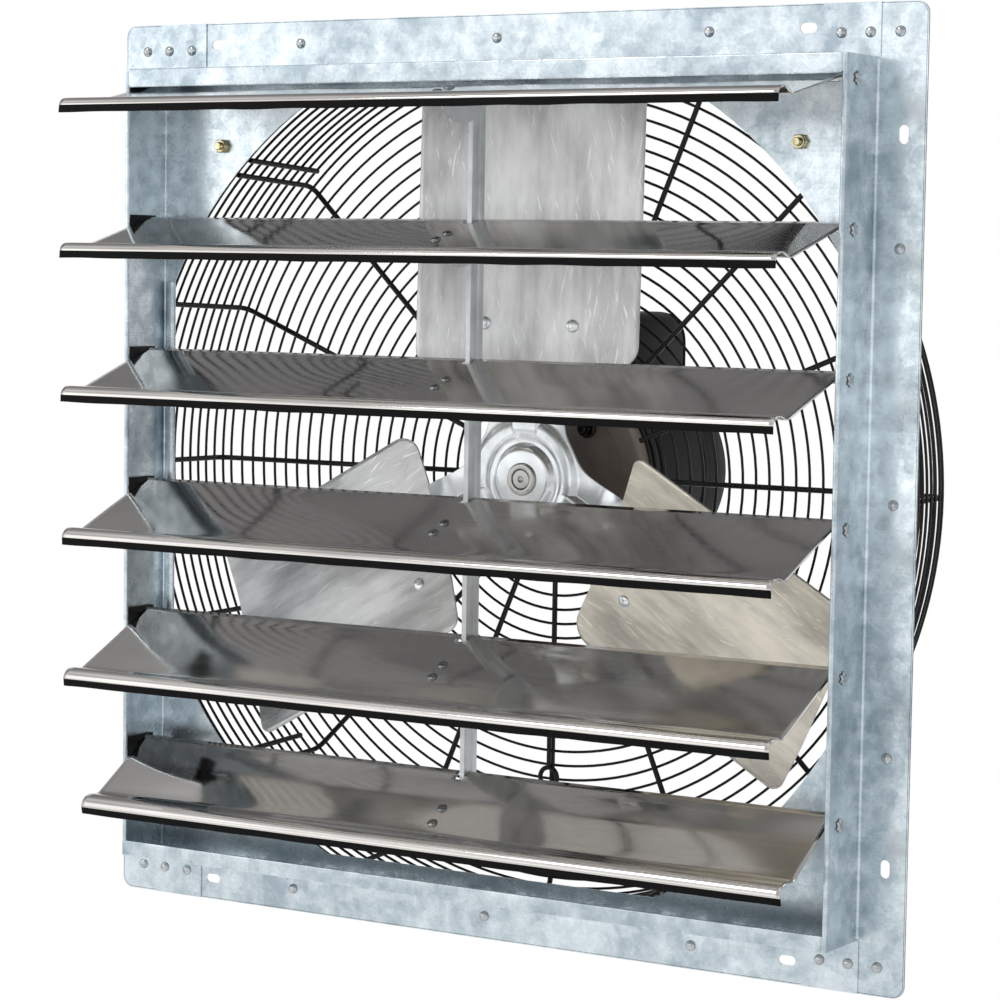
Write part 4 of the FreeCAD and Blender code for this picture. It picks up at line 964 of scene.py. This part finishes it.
class SHUTTERFAN_OT_guard(FanOperator, bpy.types.Operator):
    """Make the wire guard with its bolts and nuts"""

    bl_idname = "shutter_fan.guard"
    bl_label = "Make Guard"

    def execute(self, context):
        """Make the wires, the hoops and the fasteners."""
        sizes = working_sizes(self.prepare(context).guard)
        for name, surface, node in (("guard_side_hoops", guard_side(sizes), ["guard_side_rings"]),
                                    ("guard_back_hoops", guard_back(sizes), ["guard_back_rings"]),
                                    ("guard_carrying_wires", guard_wires(sizes), ["guard_radials"]),
                                    ("guard_bent_feet", guard_feet(sizes), ["guard_feet"]),
                                    ("guard_clip", guard_clip(sizes), [])):
            make_piece(name, surface, "frame", "black_wire_coat", node, sharp=50)
        reach, flat, thread = sizes.bolts, 5, 3
        spots = [(x, 0, z) for x in (-reach, reach) for z in (-reach, reach)]
        washer = lathe([(0, 6.0), (9.6, 6.0), (10.1, 6.4), (10.1, 7.2), (9.7, 7.5), (0, 7.5)], 48)
        bolt = joined(washer, hexagon_nut(flat, 7.5, 11.5), threaded(thread, -7.1, 6.5))
        nut = hexagon_nut(flat, -4.1, 0.9, 2.6)
        make_piece("guard_bolt_set", copies(bolt, spots), "frame", "yellow_zinc", ["guard_bolts"])
        make_piece("guard_nut_set", copies(nut, spots), "frame", "yellow_zinc", ["guard_nuts"])
        return {"FINISHED"}


class SHUTTERFAN_OT_motor(FanOperator, bpy.types.Operator):
    """Make the motor with its junction box, gland and mounting nuts"""

    bl_idname = "shutter_fan.motor"
    bl_label = "Make Motor"

    def execute(self, context):
        """Make the motor's outside."""
        settings = self.prepare(context)
        sizes, guard = working_sizes(settings.drive), working_sizes(settings.guard)
        bell, radius = sizes.bell, sizes.motor
        bore, inside, face, joint, end = 9.5, 60, 99.1, 117.1, 205.1
        front = rounded_path([(bore, joint), (bore, face), (22, face), (26, 101.6), (54, 101.6), (57, face),
                              (bell - 1, face), (bell, 106), (bell, joint), (bore, joint)], 3, 6)
        make_piece("motor_front_shield", lathe(front, 128), "frame", "taupe_enamel", ["motor_front_bell"])
        grooves = [(radius - dip, start + step) for start in (124, 194)
                   for step, dip in ((0, 0), (1, 1), (3, 1), (4, 0))]
        shell = rounded_path([(inside, joint), (radius, joint), *grooves, (radius, end), (inside, end),
                              (inside, joint)], 0.8, 4)
        make_piece("motor_shell_tube", lathe(shell, 128), "frame", "black_enamel", ["motor_shell"])
        make_piece("motor_rear_shield", rear_bell_surface(sizes), "frame", "black_enamel",
                   ["motor_rear_bell"], sharp=50)
        washer = lathe([(0, 240), (6, 240), (6, 241.5), (0, 241.5)], 40)
        ring, sunk = 66, -8.0
        heads = copies(joined(hexagon_nut(4, 241.5, 246.0), washer),
                       [(ring * math.cos(a), sunk, ring * math.sin(a)) for a in DIAGONALS])
        make_piece("motor_through_bolts", heads, "frame", "bright_zinc")
        case_start, case_end, lid_end = 140, 222, 224.5
        case = [(0, case_start), (0.95, case_start), (0.985, 141), (1, 143), (1, 219), (0.985, 221),
                (0.95, case_end), (0, case_end)]
        lid = [(0, case_end), (1.0, case_end), (1.0, 223.6), (0.975, lid_end), (0, lid_end)]
        for name, rings, node in (("junction_case", case, "junction_box"),
                                  ("junction_lid", lid, "junction_box_cover")):
            make_piece(name, prismatic(box_outline(), rings), "frame", "black_enamel", [node])
        spots = [(x, lid_end, z) for x, z in ((-31, 98), (31, 98), (-33, 82), (33, 82))]
        make_piece("junction_screws", copies(dome(3.4, 1.9), spots, about_x(math.pi)), "frame", "bright_zinc")
        hole, height = 4.5, 102
        cap = rounded_path([(hole, 229.0), (9, 229.0), (9, 235), (7.4, 239.6), (5.5, 240.5),
                            (hole, 240.5)], 1.2, 5)
        gland = joined(hexagon_nut(9.5, lid_end, 229.5), lathe(np.concatenate([cap, cap[:1]]), 48),
                       lathe([(0, 231), (hole, 231)], 48))
        make_piece("gland_body", copies(gland, [(0, 0, height)]), "frame", "black_nylon", ["cable_gland"])
        spots = standing(np.array([[guard.eyes, 0.0]]), DIAGONALS, guard.foot)[:, 0]
        nut = joined(hexagon_nut(5, 89.9, 94.9), threaded(3, 86.9, face))
        make_piece("motor_nuts", copies(nut, spots), "frame", "black_wire_coat", ["motor_mount_nuts"])
        return {"FINISHED"}


class SHUTTERFAN_OT_fan(FanOperator, bpy.types.Operator):
    """Make the blades, the spider, the collar and the shaft"""

    bl_idname = "shutter_fan.fan"
    bl_label = "Make Fan"

    def execute(self, context):
        """Make the turning pieces."""
        sizes = working_sizes(self.prepare(context).drive)
        plane = np.array([[0, sizes.blade_plane, 0]])
        turns = about_y(sizes.blade_lead + 2 * np.pi / BLADES * np.arange(BLADES))
        pitched = turns @ about_z(sizes.blade_pitch)
        blade = blade_surface(sizes)
        for i in range(BLADES):
            make_piece(f"blade_sheet_{i + 1}", copies(blade, plane, pitched[i]), "fan",
                       f"stamped_aluminium_{i + 1}", [f"fan_blade_{i + 1}"], sizes.blade_sheet)
        seats = np.array([[-34, -0.75, 117], [34, -0.75, 117]])
        spots = np.einsum("nij,pj->npi", pitched, seats).reshape(-1, 3) + plane
        make_piece("blade_rivet_heads", copies(dome(5, 2.2), spots, np.repeat(pitched, 2, 0)), "fan",
                   "bright_zinc", ["blade_rivets"])
        make_piece("spider_pressing", copies(spider_surface(sizes), plane, turns[0]), "fan", "bright_zinc",
                   ["hub_spider"], sizes.spider_sheet, 60)
        bore, start, end = 8, 51.3, 73.2
        collar = rounded_path([(bore, start), (13, start), (14, start + 1), (14, end - 1), (13, end),
                               (bore, end), (bore, start)], 0.5, 3)
        make_piece("collar_ring", lathe(collar, 64), "fan", "bright_zinc", ["hub_collar"])
        radius, tip, rear = sizes.shaft, 43.0, 240.1
        rod = [(0, 46.2), (2.6, 44.2), (2.6, tip), (radius - 1.2, tip), (radius, 44.2), (radius, rear),
               (0, rear)]
        front, back = 42.6, 46
        sleeve = rounded_path([(radius, back), (radius, front), (11.5, front), (12.5, front + 1),
                               (12.5, back), (radius, back)], 0.5, 3)
        make_piece("shaft_bar", joined(lathe(rod, 64), lathe(sleeve, 64)), "fan", "ground_steel",
                   ["motor_shaft"])
        return {"FINISHED"}


class SHUTTERFAN_OT_stage(FanOperator, bpy.types.Operator):
    """Make the floor, the lights, the surroundings and the camera"""

    bl_idname = "shutter_fan.stage"
    bl_label = "Make Stage"

    def execute(self, context):
        """Make the stage."""
        make_floor(self.prepare(context))
        make_world()
        make_lights()
        make_camera()
        context.scene.view_settings.view_transform = "Standard"
        return {"FINISHED"}


def make_floor(settings):
    """Make a pale floor well below the fan, which meets the white surroundings in the picture."""
    reach, level, points, glow = 1.5, -0.85, 96, 0.36
    turns = circle(points)
    rim = together(reach * np.cos(turns), reach * np.sin(turns), level)
    mesh = bpy.data.meshes.new("floor")
    mesh.from_pydata(rim.tolist(), [], [list(range(points))])
    tree, _, layers = start_material("pale_floor", {"cloud": (1800, 2)})
    base = settings.colours.floor
    finish_material(tree, (layers["cloud"], [(0.3, shade(base)), (0.7, shade(base, 1.03))]),
                    Roughness=0.9, Emission_Color=(1, 1, 1, 1))
    camera, glossy = (add_node(tree, "LightPath", {}, f"Is {kind} Ray") for kind in ("Camera", "Glossy"))
    seen = add_node(tree, "Math", {0: camera, 1: glossy}, operation="ADD")
    tree.links.new(add_node(tree, "MapRange", {"Value": seen, "To Max": glow}),
                   tree.nodes["Principled BSDF"].inputs["Emission Strength"])
    mesh.materials.append(LOOKS["pale_floor"])
    floor = bpy.data.objects.new("floor", mesh)
    bpy.context.scene.collection.objects.link(floor)


def make_world():
    """Make white surroundings under a ceiling that is grey at the back and pale over the fan."""
    world = bpy.data.worlds.new("studio")
    bpy.context.scene.world = world
    world.use_nodes = True
    tree = world.node_tree
    place = add_node(tree, "TexCoord", {}, "Generated")
    depth, height = (add_node(tree, "SeparateXYZ", {"Vector": place}, axis) for axis in "YZ")
    tones = ((0, 0.25), (0.12, 0.32), (0.26, 0.48), (0.41, 0.9), (0.6, 0.7), (0.9, 0.6))
    back = add_node(tree, "MapRange", {"Value": depth, "From Min": 0.6, "From Max": -1.0})
    stops = [(u, (tone, tone, tone * 1.02, 1)) for u, tone in tones]
    above = add_node(tree, "ValToRGB", {"Fac": back}, stops=stops)
    ceiling = tree.nodes["Background"]
    tree.links.new(above, ceiling.inputs["Color"])
    plain = add_node(tree, "Background", {"Color": (1, 1, 1, 1), "Strength": 1.0})
    rise = add_node(tree, "MapRange", {"Value": height, "From Min": 0.18, "From Max": 0.36})
    room = add_node(tree, "MixShader", {0: rise, 1: plain, 2: ceiling.outputs["Background"]})
    seen = add_node(tree, "LightPath", {}, "Is Camera Ray")
    both = add_node(tree, "MixShader", {0: seen, 1: room, 2: plain})
    tree.links.new(both, tree.nodes["World Output"].inputs["Surface"])


def make_lights():
    """Make soft boxes: a key at the front left, one at the side, a small one for glints and one behind."""
    for name, spot, aim, size, glow in (("key", (-1.1, -2.2, 0.6), (0, 0, 0.1), 2.4, 0.35),
                                        ("side", (-2.0, -1.2, 0.55), (-0.1, 0, -0.05), 1.4, 0.45),
                                        ("spark", (-1.0, -1.6, 1.7), (0, 0, 0), 0.55, 7),
                                        ("rear", (2.1, 2.3, 2.3), (0, 0.1, 0), 1.6, 1.2)):
        light = bpy.data.lights.new(name, "AREA")
        light.shape = "SQUARE"
        light.size = size
        light.energy = 4 * size * size * glow
        lamp = bpy.data.objects.new(name, light)
        bpy.context.scene.collection.objects.link(lamp)
        away = np.array(spot) - np.array(aim)
        away = away / np.linalg.norm(away)
        right = np.cross((0, 0, 1), away)
        right = right / np.linalg.norm(right)
        lamp.matrix_world = matrix_of(right, np.cross(away, right), away, spot)


def matrix_of(right, up, back, spot):
    """Return an object matrix from its axes and its position."""
    table = np.eye(4)
    table[:3, 0], table[:3, 1], table[:3, 2], table[:3, 3] = right, up, back, spot
    return [tuple(column) for column in table.T.tolist()]


def make_camera():
    """Make a camera at the photograph's angle."""
    azimuth, elevation, roll = (math.radians(d) for d in (31.566, 5.021, 0.858))
    back = np.array([math.sin(azimuth) * math.cos(elevation), -math.cos(azimuth) * math.cos(elevation),
                     math.sin(elevation)])
    right = np.array([math.cos(azimuth), math.sin(azimuth), 0])
    up = np.cross(back, right)
    lens = bpy.data.cameras.new("camera")
    lens.lens = 113.298
    lens.sensor_width = 36
    lens.shift_x = -0.00576
    lens.shift_y = 0.03841
    camera = bpy.data.objects.new("camera", lens)
    bpy.context.scene.collection.objects.link(camera)
    across = right * math.cos(roll) + up * math.sin(roll)
    camera.matrix_world = matrix_of(across, up * math.cos(roll) - right * math.sin(roll), back,
                                    (1.2344, -1.9862, 0.1637))
    bpy.context.scene.camera = camera


class SHUTTERFAN_PT_panel(bpy.types.Panel):
    """The fan's panel in the sidebar"""

    bl_idname = "SHUTTERFAN_PT_panel"
    bl_label = "Shutter Fan"
    bl_space_type = "VIEW_3D"
    bl_region_type = "UI"
    bl_category = "Shutter Fan"

    def draw(self, context):
        """Draw the settings and the operators."""
        settings = context.scene.shutter_fan
        for title in ("louvers", "guard", "drive", "colours"):
            box = self.layout.box()
            box.label(text=title.title())
            group = getattr(settings, title)
            for key in group.__annotations__:
                box.prop(group, key)
        for step in STEPS:
            self.layout.operator(f"shutter_fan.{step}")


STEPS = ("frame", "rivets", "louvers", "guard", "motor", "fan", "stage")
CLASSES = (ShutterFanLouverSizes, ShutterFanGuardSizes, ShutterFanDriveSizes, ShutterFanColours,
           ShutterFanSettings, SHUTTERFAN_OT_frame, SHUTTERFAN_OT_rivets, SHUTTERFAN_OT_louvers,
           SHUTTERFAN_OT_guard, SHUTTERFAN_OT_motor, SHUTTERFAN_OT_fan, SHUTTERFAN_OT_stage,
           SHUTTERFAN_PT_panel)


def register():
    """Register the classes and the settings."""
    for item in CLASSES:
        bpy.utils.register_class(item)
    bpy.types.Scene.shutter_fan = bpy.props.PointerProperty(type=ShutterFanSettings, name="Shutter Fan",
                                                            description="Settings of the shutter fan")


def unregister():
    """Take the settings and the classes away again."""
    del bpy.types.Scene.shutter_fan
    for item in reversed(CLASSES):
        bpy.utils.unregister_class(item)


def main():
    """Build the fan's looks."""
    register()
    for step in STEPS:
        getattr(bpy.ops.shutter_fan, step)()
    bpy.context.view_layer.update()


if __name__ == "__main__":
    main()
